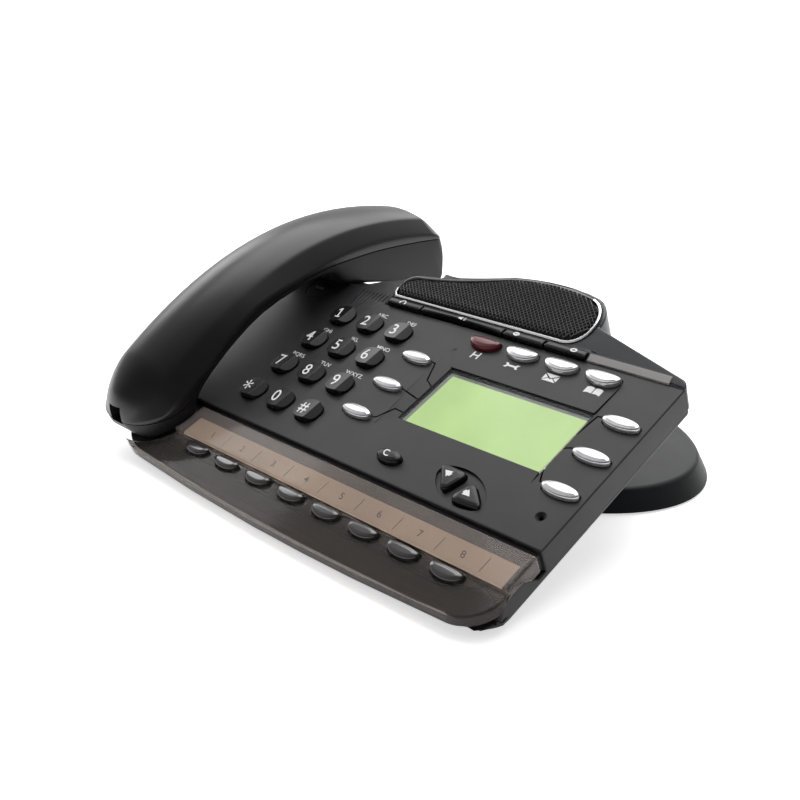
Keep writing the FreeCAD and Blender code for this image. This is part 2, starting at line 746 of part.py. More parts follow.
def build_base_shell():
    # thin rim all round, with a deeper belly in the middle
    belly_plan = rounded_rectangle(0, (belly_front_y + belly_rear_y) / 2, 2 * belly_half_width,
                                   belly_rear_y - belly_front_y, belly_corner)
    rim = softened(prism(grown(HOUSING, -0.6), -rim_depth, -seam_depth), -rim_depth, 2.0)
    belly = softened(prism(belly_plan, -belly_depth, -seam_depth), -belly_depth, 3.0)
    outer = to_desk(rim.fuse([belly, side_lug(0)]).removeSplitter()).cut(below_desk_level(base_clearance))
    rim_room = prism(grown(HOUSING, -0.6 - shell_wall), -floor_depth, 0)
    belly_room = prism(grown(belly_plan, -shell_wall), -belly_depth + shell_wall, 0)
    room = to_desk(rim_room.fuse(belly_room).removeSplitter())
    room = room.cut(below_desk_level(base_clearance + shell_wall))
    shell = outer.cut(room)
    holes = []
    for x, y in screw_places():
        holes.append(to_desk(cylinder(x, y, -20, 0, screw_radius + 0.1)))
        head_top = -rim_depth + screw_head_height + 0.1
        holes.append(to_desk(cylinder(x, y, -20, head_top, screw_head_radius + 0.2)))
    for x, width in ((line_socket_x, line_socket_width), (handset_socket_x, handset_socket_width)):
        half = width / 2 + fit_gap
        holes.append(to_desk(box(x - half, x + half, belly_rear_y - 6, belly_rear_y + 1,
                                 socket_bottom - fit_gap, -board_bottom)))
    holes += [clip_slot(side, fit_gap) for side in (-1, 1)]
    return shell.cut(holes + front_feet(fit_gap))


def socket(x, width, mouth, tab):
    rear = belly_rear_y - 0.4
    block = box(x - width / 2, x + width / 2, rear - socket_length, rear, socket_bottom, -board_bottom)
    low = socket_bottom + socket_floor
    high = low + mouth[1]
    hole = box(x - mouth[0] / 2, x + mouth[0] / 2, rear - socket_depth, rear + 1, low, high)
    notch = box(x - tab[0] / 2, x + tab[0] / 2, rear - socket_depth, rear + 1, high, high + tab[1])
    return block.cut([hole, notch])


def build_rear_sockets():
    line = socket(line_socket_x, line_socket_width, line_socket_mouth, line_socket_tab)
    handset = socket(handset_socket_x, handset_socket_width, handset_socket_mouth, jack_tab)
    return [line, handset]


def lcd_room(growth, z0, z1):
    return box(lcd_left_x - growth, lcd_right_x + growth, lcd_front_y - growth, lcd_back_y + growth, z0, z1)


def build_lcd_window():
    gap = fit_gap
    top = -lcd_window_sink
    return box(lcd_left_x + gap, lcd_right_x - gap, lcd_front_y + gap, lcd_back_y - gap,
               top - lcd_window_thickness, top)


def build_lcd_module():
    top = -cover_plate - fit_gap
    frame = lcd_room(1.6, -mat_bottom, top)
    glass_recess = lcd_room(-2.5, top - 0.5, top + 1)
    return frame.cut(glass_recess)


def board_plan():
    return path((-board_half_width, board_front_y + 12), (-board_half_width + 14, board_front_y),
                (board_half_width - 10, board_front_y), (board_half_width, board_front_y + 10),
                (board_half_width, board_rear_y), (board_tab_x[1], board_rear_y),
                (board_tab_x[1], board_tab_rear_y), (board_tab_x[0], board_tab_rear_y),
                (board_tab_x[0], board_rear_y), (-board_half_width, board_rear_y))


def board_holes(growth):
    holes = [cylinder(x, y, -60, 60, post_radius + growth) for x, y in screw_places()]
    holes.append(cylinder(handset_x, plunger_y, -60, 60, plunger_flange_radius + 0.6 + growth))
    holes.append(cylinder(tab_x, tab_y, -60, 60, tab_pin_radius + 3))
    return holes


def build_main_board():
    board = prism(board_plan(), -board_bottom, -mat_bottom)
    board = board.common(prism(grown(HOUSING, -board_margin), -60, 60))
    return board.cut(board_holes(0.5))


def build_key_mat():
    mat = prism(grown(board_plan(), -1.0), -mat_bottom, -mat_top)
    mat = mat.common(prism(grown(HOUSING, -board_margin - 1), -60, 60))
    mat = mat.common(region(-300, 300, -300, board_rear_y - 1))
    mat = mat.cut(lcd_room(2.2, -60, 60))
    return mat.cut(board_holes(1.0))


def build_loudspeaker():
    plan = rounded_rectangle(speaker_x, speaker_y, speaker_length, speaker_width, speaker_width / 2 - 0.01)
    bottom = -seam_depth + 2.0
    frame = prism(plan, bottom + 2, bottom + speaker_depth)
    cone = prism(grown(plan, -2.5), bottom + 4, bottom + speaker_depth + 1)
    magnet = cylinder(speaker_x, speaker_y, bottom - 3, bottom + 4.5, speaker_width / 2 - 1)
    ear_top = bottom + speaker_depth - 0.2
    ear_rear_y = speaker_y - speaker_width / 2 + 1
    ear = box(speaker_x - speaker_ear_length / 2, speaker_x + speaker_ear_length / 2,
              speaker_ear_front_y, ear_rear_y, ear_top - speaker_ear_thickness, ear_top)
    return frame.cut(cone).fuse([magnet, ear]).removeSplitter()


def build_message_lamp():
    bar = box(lamp_left_x, lamp_right_x, lamp_front_y, lamp_back_y, -lamp_depth, 20)
    return bar.common(pod_slab(0.3, -20))


def build_screws():
    screws = []
    for x, y in screw_places():
        shank = cylinder(x, y, -rim_depth, -screw_top - 0.3, screw_radius)
        head = cylinder(x, y, -rim_depth, -rim_depth + screw_head_height, screw_head_radius)
        slot = box(x - 2, x + 2, y - 0.4, y + 0.4, -rim_depth - 1, -rim_depth + 0.7)
        screws.append(shank.fuse(head).removeSplitter().cut(slot))
    return screws


def build_plunger():
    top = mouth_cup_bottom - 0.1
    flange_top = mouth_cup_bottom - part_gap - cradle_plate - plunger_rise - flange_gap
    stem = softened(cylinder(handset_x, plunger_y, flange_top - 1, top, plunger_radius), top, 0.6)
    flange = cylinder(handset_x, plunger_y, flange_top - 1, flange_top, plunger_flange_radius)
    return stem.fuse(flange).removeSplitter()


def build_tab():
    disc = cylinder(tab_x, tab_y, -tab_sink + 0.1, -0.1, tab_radius)
    lug = box(tab_x - tab_lug[0] / 2, tab_x + tab_lug[0] / 2, tab_y - tab_lug[1] / 2, tab_y + tab_lug[1] / 2,
              -0.5, tab_lug[2])
    pin = cylinder(tab_x, tab_y, -cover_plate - 1.6, -0.5, tab_pin_radius)
    button = cylinder(tab_x, tab_y, -cover_plate - 2.4, -cover_plate - 0.15, tab_pin_radius + 1.2)
    return disc.fuse([lug, pin, button]).removeSplitter()


# ---- handset ----

def curve_face(points, *corners):
    """Face in (y, z) bounded by a smooth curve through the points and then by corners."""
    spline = Part.BSplineCurve()
    spline.interpolate([Vector(*p) for p in points])
    chain = [Vector(*points[-1])] + [Vector(*c) for c in corners] + [Vector(*points[0])]
    edges = [spline.toShape()]
    for a, b in zip(chain, chain[1:]):
        edges.append(Part.LineSegment(a, b).toShape())
    return Part.Face(Part.Wire(edges))


def crown_height(y):
    """Height of the handset's back along its length: a shallow arch, steeper to the far end."""
    t = y / 100.0
    return grip_top - 1.4 * t - 26.5 * t * t - 3.6 * t ** 3


def crease_height(y):
    """Height of the crease beside the crown, which fades towards the mouth cup."""
    t = y / 100.0
    return crown_height(y) - 7.2 + 3.4 * t


def handset_section(y, inset):
    """Cross-section of the outer shell: straight sides and an arched crown."""
    w = handset_half_width - inset
    c = crown_half_width - inset * 0.7
    top = crown_height(y) - inset
    crease = crease_height(y) - inset * 0.8
    low = -60.0
    points = [Vector(-w, y, low), Vector(w, y, low), Vector(w, y, crease - 9), Vector(c, y, crease),
              Vector(-c, y, crease), Vector(-w, y, crease - 9)]
    edges = [Part.LineSegment(points[i], points[i + 1]).toShape() for i in range(3)]
    edges.append(Part.Arc(points[3], Vector(0, y, top), points[4]).toShape())
    edges.append(Part.LineSegment(points[4], points[5]).toShape())
    edges.append(Part.LineSegment(points[5], points[0]).toShape())
    return Part.Wire(edges)


def handset_loft(inset):
    stations = (-92, -70, -45, -15, 15, 45, 75, 112)
    body = Part.makeLoft([handset_section(y, inset) for y in stations], True, False)
    body.translate(Vector(handset_x, 0, 0))
    return body


def handset_plan(inset):
    """Plan of the handset: round at the mouth end, square with small corners at the far end."""
    w = handset_half_width - inset
    r = handset_cup_radius - inset
    k = handset_far_corner
    s = 1 - math.sqrt(0.5)
    near = nose_y + inset
    far = far_end_y - inset
    x = handset_x
    return path((x - w + r, near), (x + w - r, near), ((x + w - r * s, near + r * s), (x + w, near + r)),
                (x + w, far - k), (x + w - k, far), (x - w + k, far), (x - w, far - k),
                (x - w, near + r), ((x - w + r * s, near + r * s), (x - w + r, near)))


def ear_bottom(y):
    return ear_cup_bottom - ear_cup_slope * (y - ear_cup_front_y)


def handset_side(inset):
    """Side view of the whole handset: nose, back, bevelled far end, cups and arched grip."""
    far = far_end_y - inset
    i = inset
    rise = inset * math.hypot(1, ear_cup_slope)
    front = ear_cup_front_y + i
    rear = ear_cup_rear_y - i
    return path((mouth_cup_front_y + i, mouth_cup_bottom + i), (mouth_cup_y - i, mouth_cup_bottom + i),
                ((mouth_cup_y + 4.2 - i, 2.4 + i), (mouth_cup_y + 13, 8.2 + i)),
                ((-12, grip_under + i), (ear_cup_front_y - 10, 13.6 + i)),
                ((front - 3, 9.0 + i), (front, ear_bottom(front) + rise)),
                (rear, ear_bottom(rear) + rise), (far, -13),
                (far - 1.6, -4), (far - 6, 4), (far - 6, 60),
                (nose_y + 22, 60), (nose_y + 20, 30 - i), ((nose_y + 5.5 + i, 17 - i), (nose_y + i, 4.5)),
                ((nose_y + 1.6 + i, -0.2 + i), (mouth_cup_front_y + i, mouth_cup_bottom + i)))


def parting_points():
    return [(-96, 9.0), (-84, 6.2), (-70, 4.2), (-59, 5.6), (-42, 13.2), (-26, 18.2), (-11, 20.8), (9, 19.6),
            (30, 16.0), (63, 5.8), (86, -3.7), (116, -17.5)]


def above_parting(shift):
    points = [(y, z + shift) for y, z in parting_points()]
    face = curve_face(points, (116, 80), (-96, 80))
    return slab_across(face, handset_x - 60, handset_x + 60)


def handset_envelope(inset):
    side = slab_across(handset_side(inset), handset_x - 60, handset_x + 60)
    plan = prism(handset_plan(inset), -60, 80)
    return side.common([plan]).common(handset_loft(inset))


def jack_opening(growth, y0, y1):
    """The plug's way in: a rectangle with a notch for the plug's latch above it."""
    width, tall = jack_mouth
    low = jack_z - jack_body[2] / 2 + jack_floor
    mouth = box(handset_x - width / 2 - growth, handset_x + width / 2 + growth, y0, y1,
                low - growth, low + tall + growth)
    notch = box(handset_x - jack_tab[0] / 2 - growth, handset_x + jack_tab[0] / 2 + growth, y0, y1,
                low + tall, low + tall + jack_tab[1] + growth)
    return mouth.fuse(notch)


def build_handset_shells():
    whole = handset_envelope(0)
    hollow = handset_envelope(handset_wall)
    upper_half = above_parting(fit_gap)
    lower_half = above_parting(0)
    plug_way = jack_opening(0.3, nose_y - 5, jack_y + 1)
    upper = whole.common(upper_half).cut([hollow, plug_way])
    lower = whole.cut(lower_half).cut([hollow, plug_way])
    # receiver port: a ring of small holes in the ear cup's floor
    ports = []
    for k in range(6):
        x = handset_x + 6 * math.cos(math.radians(60 * k))
        y = receiver_y + 6 * math.sin(math.radians(60 * k))
        ports.append(cylinder(x, y, -60, 0, 1.2))
    lower = lower.cut(ports)
    lower = lower.cut(cylinder(handset_x, mouth_cup_front_y + 5.5, -20, 4, 0.9))
    return upper, lower


def build_capsules():
    base = ear_bottom(receiver_y) + handset_wall * math.hypot(1, ear_cup_slope) + part_gap
    receiver = cylinder(handset_x, receiver_y, 0, receiver_thickness, receiver_radius)
    receiver.translate(Vector(0, 0, base))
    lean = -math.degrees(math.atan(ear_cup_slope))
    receiver.rotate(Vector(handset_x, receiver_y, base), Vector(1, 0, 0), lean)
    floor = mouth_cup_bottom + handset_wall + 0.1
    transmitter = cylinder(handset_x, mouth_cup_front_y + 9, floor, floor + transmitter_thickness - 1.5,
                           transmitter_radius)
    return [receiver, transmitter]


def build_handset_jack():
    width, length, tall = jack_body
    block = box(handset_x - width / 2, handset_x + width / 2, jack_y, jack_y + length,
                jack_z - tall / 2, jack_z + tall / 2)
    return block.cut(jack_opening(0, jack_y - 1, jack_y + jack_depth))


# ---- stand ----

def stand_centre():
    return Vector(housing_shift_x, key_row_y + stand_centre_y, stand_lift)


def stand_disc(inset, height):
    """Elliptical frustum with its base on the stand's underside."""
    a = stand_half_width - inset
    cone = Part.makeCone(a, a - stand_inset, height)
    squash = FreeCAD.Matrix()
    squash.scale(1, (stand_half_depth - inset) / a, 1)
    disc = cone.transformGeometry(squash)
    disc.translate(stand_centre())
    return disc


def clip_slot(side, growth):
    """Hook of the stand that snaps into the belly; side is -1 or 1."""
    x = side * pedestal_width * 0.36
    y = belly_rear_y - 22
    half = clip_width / 2 + growth
    deep = belly_depth - shell_wall - 1.2 + growth
    return to_desk(box(x - half, x + half, y - 2 - growth, y + 2 + growth, -belly_depth - 1, -deep))


def pedestal():
    plan = rounded_rectangle(0, belly_rear_y - 6 - pedestal_depth / 2, pedestal_width, pedestal_depth,
                             pedestal_corner)
    return to_desk(prism(plan, -belly_depth - 70, -belly_depth - 0.05))


def build_desk_stand():
    disc = stand_disc(0, stand_thickness)
    under = box(-300, 300, -300, 300, -300, stand_lift + 1)
    column = pedestal().cut(under)
    stand = disc.fuse(column).removeSplitter()
    hollow = stand_disc(stand_wall, stand_thickness - stand_wall)
    core = rounded_rectangle(0, belly_rear_y - 6 - pedestal_depth / 2, pedestal_width - 2 * stand_wall,
                             pedestal_depth - 2 * stand_wall, pedestal_corner - stand_wall)
    core = to_desk(prism(core, -belly_depth - 70, -belly_depth - stand_wall))
    stand = stand.cut([hollow, core])
    stand = stand.fuse([clip_slot(side, 0) for side in (-1, 1)])
    stand = stand.fuse(stand_pads(1.6, stand_lift, stand_thickness - 1))
    return stand.cut(stand_pads(0.1, -5, pad_thickness + 0.1))


def stand_pads(growth, z0, z1):
    centre = stand_centre()
    pads = []
    for sx in (-1, 1):
        for sy in (-1, 1):
            pads.append(cylinder(centre.x + sx * pad_x, centre.y + sy * pad_y, z0, z1, pad_radius + growth))
    return pads


def front_feet(growth):
    y = key_row_y + front_foot_y * math.cos(tilt) + seam_depth * math.sin(tilt)
    feet = []
    for side in (-1, 1):
        x = housing_shift_x + side * front_foot_x
        feet.append(cylinder(x, y, -growth, base_clearance + 0.8 + growth, foot_radius + growth))
    return feet


def build_all():
    for name, (outline, top, underside) in KEYS.items():
        save(name, to_desk(key_solid(outline, top, underside, name in POD_KEYS)))
    save("top_cover", build_top_cover())
    save("speaker_bezel", to_desk(build_bezel()))
    save("grille_rim", to_desk(build_grille_rim()))
    save("speaker_grille", to_desk(build_grille()))
    save("clear_cover", to_desk(build_clear_cover()))
    save("label_strip", to_desk(build_label_strip()))
    save("base_shell", build_base_shell())
    save("rear_sockets", *[to_desk(s) for s in build_rear_sockets()])
    save("lcd_window", to_desk(build_lcd_window()))
    save("lcd_module", to_desk(build_lcd_module()))
    save("main_board", to_desk(build_main_board()))
    save("key_mat", to_desk(build_key_mat()))
    save("loudspeaker", to_desk(build_loudspeaker()))
    save("message_lamp", to_desk(build_message_lamp()))
    save("case_screws", *[to_desk(s) for s in build_screws()])
    save("hook_plunger", to_desk(build_plunger()))
    save("handset_tab", to_desk(build_tab()))
    upper, lower = build_handset_shells()
    save("handset_outer_shell", to_desk(upper))
    save("handset_inner_shell", to_desk(lower))
    save("handset_capsules", *[to_desk(c) for c in build_capsules()])
    save("handset_jack", to_desk(build_handset_jack()))
    save("desk_stand", build_desk_stand())
    save("rubber_feet", *(front_feet(0) + stand_pads(0, 0, pad_thickness)))


os.makedirs("parts", exist_ok=True)
build_all()
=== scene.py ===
import json
import math
import bpy
from mathutils import Matrix, Vector
from mathutils.bvhtree import BVHTree

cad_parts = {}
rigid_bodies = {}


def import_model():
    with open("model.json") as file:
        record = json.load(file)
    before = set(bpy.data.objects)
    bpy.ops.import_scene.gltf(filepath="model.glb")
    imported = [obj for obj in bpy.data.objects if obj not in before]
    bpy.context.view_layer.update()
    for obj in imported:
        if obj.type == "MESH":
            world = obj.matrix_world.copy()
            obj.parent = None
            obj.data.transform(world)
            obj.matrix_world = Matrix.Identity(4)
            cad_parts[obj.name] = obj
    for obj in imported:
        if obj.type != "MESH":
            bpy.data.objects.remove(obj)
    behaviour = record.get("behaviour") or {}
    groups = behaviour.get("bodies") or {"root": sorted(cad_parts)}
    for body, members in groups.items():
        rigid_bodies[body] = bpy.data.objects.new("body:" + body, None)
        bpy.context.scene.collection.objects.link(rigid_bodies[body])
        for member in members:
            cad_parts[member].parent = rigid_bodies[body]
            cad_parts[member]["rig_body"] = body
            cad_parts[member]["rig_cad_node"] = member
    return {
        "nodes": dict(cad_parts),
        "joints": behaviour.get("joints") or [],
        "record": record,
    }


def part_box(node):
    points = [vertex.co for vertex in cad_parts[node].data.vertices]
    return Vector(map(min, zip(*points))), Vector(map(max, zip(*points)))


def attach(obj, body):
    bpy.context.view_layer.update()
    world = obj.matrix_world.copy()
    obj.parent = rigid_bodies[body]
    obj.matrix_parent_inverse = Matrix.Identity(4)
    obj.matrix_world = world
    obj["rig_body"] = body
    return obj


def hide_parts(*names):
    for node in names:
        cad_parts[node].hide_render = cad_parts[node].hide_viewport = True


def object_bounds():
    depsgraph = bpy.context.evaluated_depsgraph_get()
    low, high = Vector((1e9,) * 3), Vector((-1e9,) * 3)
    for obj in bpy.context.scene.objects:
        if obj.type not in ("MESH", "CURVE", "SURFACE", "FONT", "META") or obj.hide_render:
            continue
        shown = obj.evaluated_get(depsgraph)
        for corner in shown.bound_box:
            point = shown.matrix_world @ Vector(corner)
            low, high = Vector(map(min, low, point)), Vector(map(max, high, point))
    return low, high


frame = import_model()
cad_low, cad_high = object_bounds()
bpy.ops.object.select_all(action="DESELECT")

# The phone's looks. Pieces are drawn in millimetres on the sloping panel: x runs to the right from
# the housing's middle, y runs up the panel, z stands square on it with 0 on its face. settle()
# then brings a piece to its place on the desk, in metres.

joints = {joint["name"]: joint for joint in frame["joints"]}
panel_normal = Vector(joints["tab_turn"]["axis"])
tab_centre = Vector(joints["tab_turn"]["pos_m"])
panel_turn = Matrix.Rotation(math.atan2(-panel_normal.y, panel_normal.z), 4, "X")
TAB_ON_PANEL = Vector((-0.0885, 0.0336, 0))    # the retaining tab's middle, in metres on the panel
panel_origin = tab_centre - panel_turn @ TAB_ON_PANEL
PANEL = Matrix.Translation(panel_origin) @ panel_turn @ Matrix.Scale(0.001, 4)
moving_bodies = [joint["child"] for joint in frame["joints"]]
BODY_OF_KEY = {body.removesuffix("_body"): body for body in moving_bodies if body.endswith("_body")}

PANEL_PRINT = 0.03       # height of what is printed on the panel's face
POD_KEY_PRINT = 2.58     # height of the symbols on the pod's keys
POD_KEY_MIDDLE = 36.6    # y of those symbols
LABEL_FACE = -1.84       # height of the label card's print
PAD_LEFT = -58.0         # x of the number pad's left column
PAD_COLUMN = 18.0
PAD_ROW = 18.9
LINE_PITCH = 19.92       # from one line key to the next
KEY_FOOT = -2.5          # height at which the small keys' caps start, under the panel's face
PRINT_SLANT = -0.3
HANDSET_X = -97.0        # the handset's middle line
HANDSET_HALF_WIDTH = 23.0
JACK_HALF_WIDTH = 4.15


# ---- working by hand: choosing, editing and placing pieces ----

def choose(*pieces):
    bpy.ops.object.select_all(action="DESELECT")
    for piece in pieces:
        piece.select_set(True)
    bpy.context.view_layer.objects.active = pieces[0]


def named(name):
    piece = bpy.context.object
    piece.name = name
    piece.data.name = name
    return piece


def open_mesh(piece, kind="FACE"):
    choose(piece)
    bpy.ops.object.mode_set(mode="EDIT")
    bpy.ops.mesh.select_mode(type=kind)


def close_mesh():
    bpy.ops.object.mode_set(mode="OBJECT")


def face_outwards(piece):
    open_mesh(piece)
    bpy.ops.mesh.select_all(action="SELECT")
    bpy.ops.mesh.remove_doubles(threshold=0.0005)
    bpy.ops.mesh.normals_make_consistent(inside=False)
    close_mesh()


def apply_modifier(piece, kind, **settings):
    choose(piece)
    modifier = piece.modifiers.new(kind.lower(), kind)
    for key, value in settings.items():
        setattr(modifier, key, value)
    bpy.ops.object.modifier_apply(modifier=modifier.name)


def round_edges(piece, width, segments=3, angle=25):
    apply_modifier(piece, "BEVEL", width=width, segments=segments, limit_method="ANGLE",
                   angle_limit=math.radians(angle), harden_normals=False, miter_outer="MITER_ARC")


def cut_with(piece, cutter, operation="DIFFERENCE"):
    apply_modifier(piece, "BOOLEAN", operation=operation, object=cutter, solver="EXACT")
    bpy.data.objects.remove(cutter)


def smooth(piece, angle=35):
    choose(piece)
    bpy.ops.object.shade_smooth_by_angle(angle=math.radians(angle))


def flat_faces(piece):
    """Lets wide faces keep their own direction, so only the rounded edges between them blend."""
    apply_modifier(piece, "WEIGHTED_NORMAL", mode="FACE_AREA", weight=60, keep_sharp=True)


def settle(piece, place=PANEL):
    """Puts a piece's place into its mesh, with its object back at the origin."""
    piece.matrix_world = place @ piece.matrix_world
    choose(piece)
    bpy.ops.object.transform_apply(location=True, rotation=True, scale=True)


def fit(piece, body, material, replaced=()):
    """Gives a finished piece its material and its body, and hides the nodes it stands for."""
    piece.data.materials.clear()
    piece.data.materials.append(material)
    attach(piece, body)
    if replaced:
        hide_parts(*replaced)
    return piece


# ---- outlines on the panel ----

def around(x, y, points, turn=0.0):
    c = math.cos(math.radians(turn))
    s = math.sin(math.radians(turn))
    return [(x + px * c - py * s, y + px * s + py * c) for px, py in points]


def rounded_box(width, depth, power=3.2, count=40):
    """Rounded rectangle without straight runs; a higher power has tighter corners."""
    points = []
    for k in range(count):
        a = 2 * math.pi * k / count
        c = math.cos(a)
        s = math.sin(a)
        points.append((width / 2 * math.copysign(abs(c) ** (2 / power), c),
                       depth / 2 * math.copysign(abs(s) ** (2 / power), s)))
    return points


def half_moon(width, depth, count=22):
    """Nearly straight at the rear and bowed at the front, with round ends."""
    points = []
    waist = depth / 2 - depth * 0.3
    for k in range(count):
        a = math.pi * k / (count - 1)
        points.append((width / 2 * math.cos(a), waist + depth * 0.3 * math.sin(a) ** 0.6))
    for k in range(1, count - 1):
        a = math.pi + math.pi * k / (count - 1)
        points.append((width / 2 * math.cos(a), waist + depth * 0.7 * math.sin(a)))
    return points


def rounded_polygon(corners, radius, steps=6):
    """Corners cut round with a quadratic curve of a given reach."""
    points = []
    total = len(corners)
    for k in range(total):
        here = Vector(corners[k])
        before = (Vector(corners[k - 1]) - here).normalized() * radius
        after = (Vector(corners[(k + 1) % total]) - here).normalized() * radius
        for j in range(steps + 1):
            t = j / steps
            p = (here + before) * (1 - t) ** 2 + here * 2 * t * (1 - t) + (here + after) * t ** 2
            points.append((p.x, p.y))
    return points


# ---- making solids from outlines ----

def outline_face(name, points, height):
    bpy.ops.mesh.primitive_circle_add(vertices=len(points), radius=1, fill_type="NGON", location=(0, 0, 0))
    piece = named(name)
    for vertex, (x, y) in zip(piece.data.vertices, points):
        vertex.co = (x, y, height)
    return piece


def raised(name, points, low, high):
    """A plate with an outline, from one height up to another; its top stays chosen in edit mode."""
    piece = outline_face(name, points, low)
    open_mesh(piece)
    bpy.ops.mesh.select_all(action="SELECT")
    bpy.ops.mesh.extrude_region_move(TRANSFORM_OT_translate={"value": (0, 0, high - low)})
    return piece


def plate(name, points, low, high):
    piece = raised(name, points, low, high)
    close_mesh()
    face_outwards(piece)
    return piece


def step_in(middle, half, gone, step, rise):
    """Raises the chosen top by a step and draws it in by a distance along both axes of the panel."""
    bpy.ops.mesh.extrude_region_move(TRANSFORM_OT_translate={"value": (0, 0, rise)})
    value = [(reach - gone - step) / (reach - gone) for reach in half] + [1]
    bpy.ops.transform.resize(value=value, center_override=(middle[0], middle[1], 0))


def pillow(name, points, low, top, edge, crown, crown_reach):
    """A key cap: straight wall, rounded edge and a gently crowned top."""
    sides = [(min(p[k] for p in points), max(p[k] for p in points)) for k in (0, 1)]
    middle = [(near + far) / 2 for near, far in sides]
    half = [(far - near) / 2 for near, far in sides]
    piece = raised(name, points, low, top - edge)
    gone = 0.0
    for k in range(5):
        a0 = math.pi / 10 * k
        a1 = math.pi / 10 * (k + 1)
        step = edge * (math.cos(a0) - math.cos(a1))
        step_in(middle, half, gone, step, edge * (math.sin(a1) - math.sin(a0)))
        gone += step
    for k in range(4):
        step_in(middle, half, gone, crown_reach / 4, crown * ((1 - k / 4) ** 2 - (1 - (k + 1) / 4) ** 2))
        gone += crown_reach / 4
    close_mesh()
    face_outwards(piece)
    smooth(piece, 50)
    return piece


def drawn(name, outlines, height, thickness=0.06):
    """Thin flat marking drawn as one or more outlines; an outline inside another is a hole."""
    curve = bpy.data.curves.new(name, "CURVE")
    curve.dimensions = "2D"
    curve.fill_mode = "BOTH"
    curve.extrude = thickness / 2
    for points in outlines:
        spline = curve.splines.new("POLY")
        spline.points.add(len(points) - 1)
        for point, (x, y) in zip(spline.points, points):
            point.co = (x, y, 0, 1)
        spline.use_cyclic_u = True
    piece = bpy.data.objects.new(name, curve)
    bpy.context.scene.collection.objects.link(piece)
    choose(piece)
    bpy.ops.object.convert(target="MESH")
    piece = named(name)
    piece.location = (0, 0, height)
    choose(piece)
    bpy.ops.object.transform_apply(location=True, rotation=True, scale=True)
    return piece


def lettered(name, text, size, x, y, z, tilt=0.0, slant=0.12, weight=0.02, thickness=0.06):
    """Raised print: characters made a mesh, centred on a point of the panel."""
    bpy.ops.object.text_add(location=(0, 0, 0))
    writing = bpy.context.object
    writing.data.body = text
    writing.data.size = size
    writing.data.shear = slant
    writing.data.offset = weight
    writing.data.extrude = thickness / 2
    writing.data.resolution_u = 4
    writing.data.align_x = "CENTER"
    writing.data.align_y = "CENTER"
    bpy.ops.object.convert(target="MESH")
    piece = named(name)
    turn = Matrix.Rotation(math.radians(tilt), 4, "Y")
    piece.matrix_world = Matrix.Translation((x, y, z)) @ turn
    choose(piece)
    bpy.ops.object.transform_apply(location=True, rotation=True, scale=True)
    return piece


def joined(name, pieces):
    choose(*pieces)
    bpy.ops.object.join()
    return named(name)


def on_panel(point):
    """A point of the desk, in metres, brought back to the panel's millimetres."""
    return PANEL.inverted() @ Vector(point)


def carried_over(name, node, width, share=0.2, main=None, segments=3, angle=28, spread=40, sharp=None):
    """A copy of a CAD node with softened edges, in metres.

    Main edges are rounded by the width in millimetres, the others by a share of it, and sharp ones
    not at all. Corners that the rounding throws off the node's surface are brought back to it.
    """
    source = frame["nodes"][node]
    piece = source.copy()
    piece.data = source.data.copy()
    bpy.context.scene.collection.objects.link(piece)
    piece.parent = None
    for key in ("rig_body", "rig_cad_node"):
        del piece[key]
    piece.name = name
    piece.data.name = name
    piece.matrix_world = Matrix.Identity(4)
    open_mesh(piece)
    bpy.ops.mesh.select_all(action="SELECT")
    bpy.ops.mesh.remove_doubles(threshold=0.00001)
    bpy.ops.mesh.dissolve_limited(angle_limit=math.radians(1.0))
    bpy.ops.mesh.select_mode(type="EDGE")
    bpy.ops.mesh.select_all(action="DESELECT")
    bpy.ops.mesh.edges_select_sharp(sharpness=math.radians(angle))
    close_mesh()
    weights = piece.data.attributes.new("bevel_weight_edge", "FLOAT", "EDGE")
    for edge in piece.data.edges:
        if edge.select:
            a, b = (piece.data.vertices[v].co for v in edge.vertices)
            middle = on_panel((a + b) / 2)
            if sharp is None or not sharp(middle):
                weights.data[edge.index].value = 1.0 if main is None or main(middle) else share
    corners = [vertex.co.copy() for vertex in piece.data.vertices]
    surface = BVHTree.FromPolygons(corners, [tuple(face.vertices) for face in piece.data.polygons])
    apply_modifier(piece, "BEVEL", width=width * 0.001, segments=segments, limit_method="WEIGHT",
                   harden_normals=False, miter_outer="MITER_ARC", use_clamp_overlap=False)
    stray = (0.2 + 0.35 * width) * 0.001
    for vertex in piece.data.vertices:
        near, facing, face, gap = surface.find_nearest(vertex.co)
        if gap > stray:
            vertex.co = near
    open_mesh(piece)
    bpy.ops.mesh.select_all(action="DESELECT")
    bpy.ops.mesh.select_face_by_sides(number=4, type="GREATER")
    bpy.ops.mesh.quads_convert_to_tris(quad_method="BEAUTY", ngon_method="BEAUTY")
    close_mesh()
    smooth(piece, spread)
    flat_faces(piece)
    return piece


# ---- finishes ----

def finish(name):
    material = bpy.data.materials.new(name)
    material.use_nodes = True
    nodes = material.node_tree.nodes
    links = material.node_tree.links
    shader = nodes["Principled BSDF"]
    place = nodes.new("ShaderNodeTexCoord")
    return material, nodes, links, shader, place


def grain(nodes, links, place, scale, detail=2.0):
    noise = nodes.new("ShaderNodeTexNoise")
    noise.inputs["Scale"].default_value = scale
    noise.inputs["Detail"].default_value = detail
    links.new(place.outputs["Object"], noise.inputs["Vector"])
    return noise


def uneven_sheen(nodes, links, noise, shader, low, high):
    """Roughness that wanders between two values."""
    span = nodes.new("ShaderNodeMapRange")
    span.inputs["To Min"].default_value = low
    span.inputs["To Max"].default_value = high
    links.new(noise.outputs["Fac"], span.inputs["Value"])
    links.new(span.outputs["Result"], shader.inputs["Roughness"])


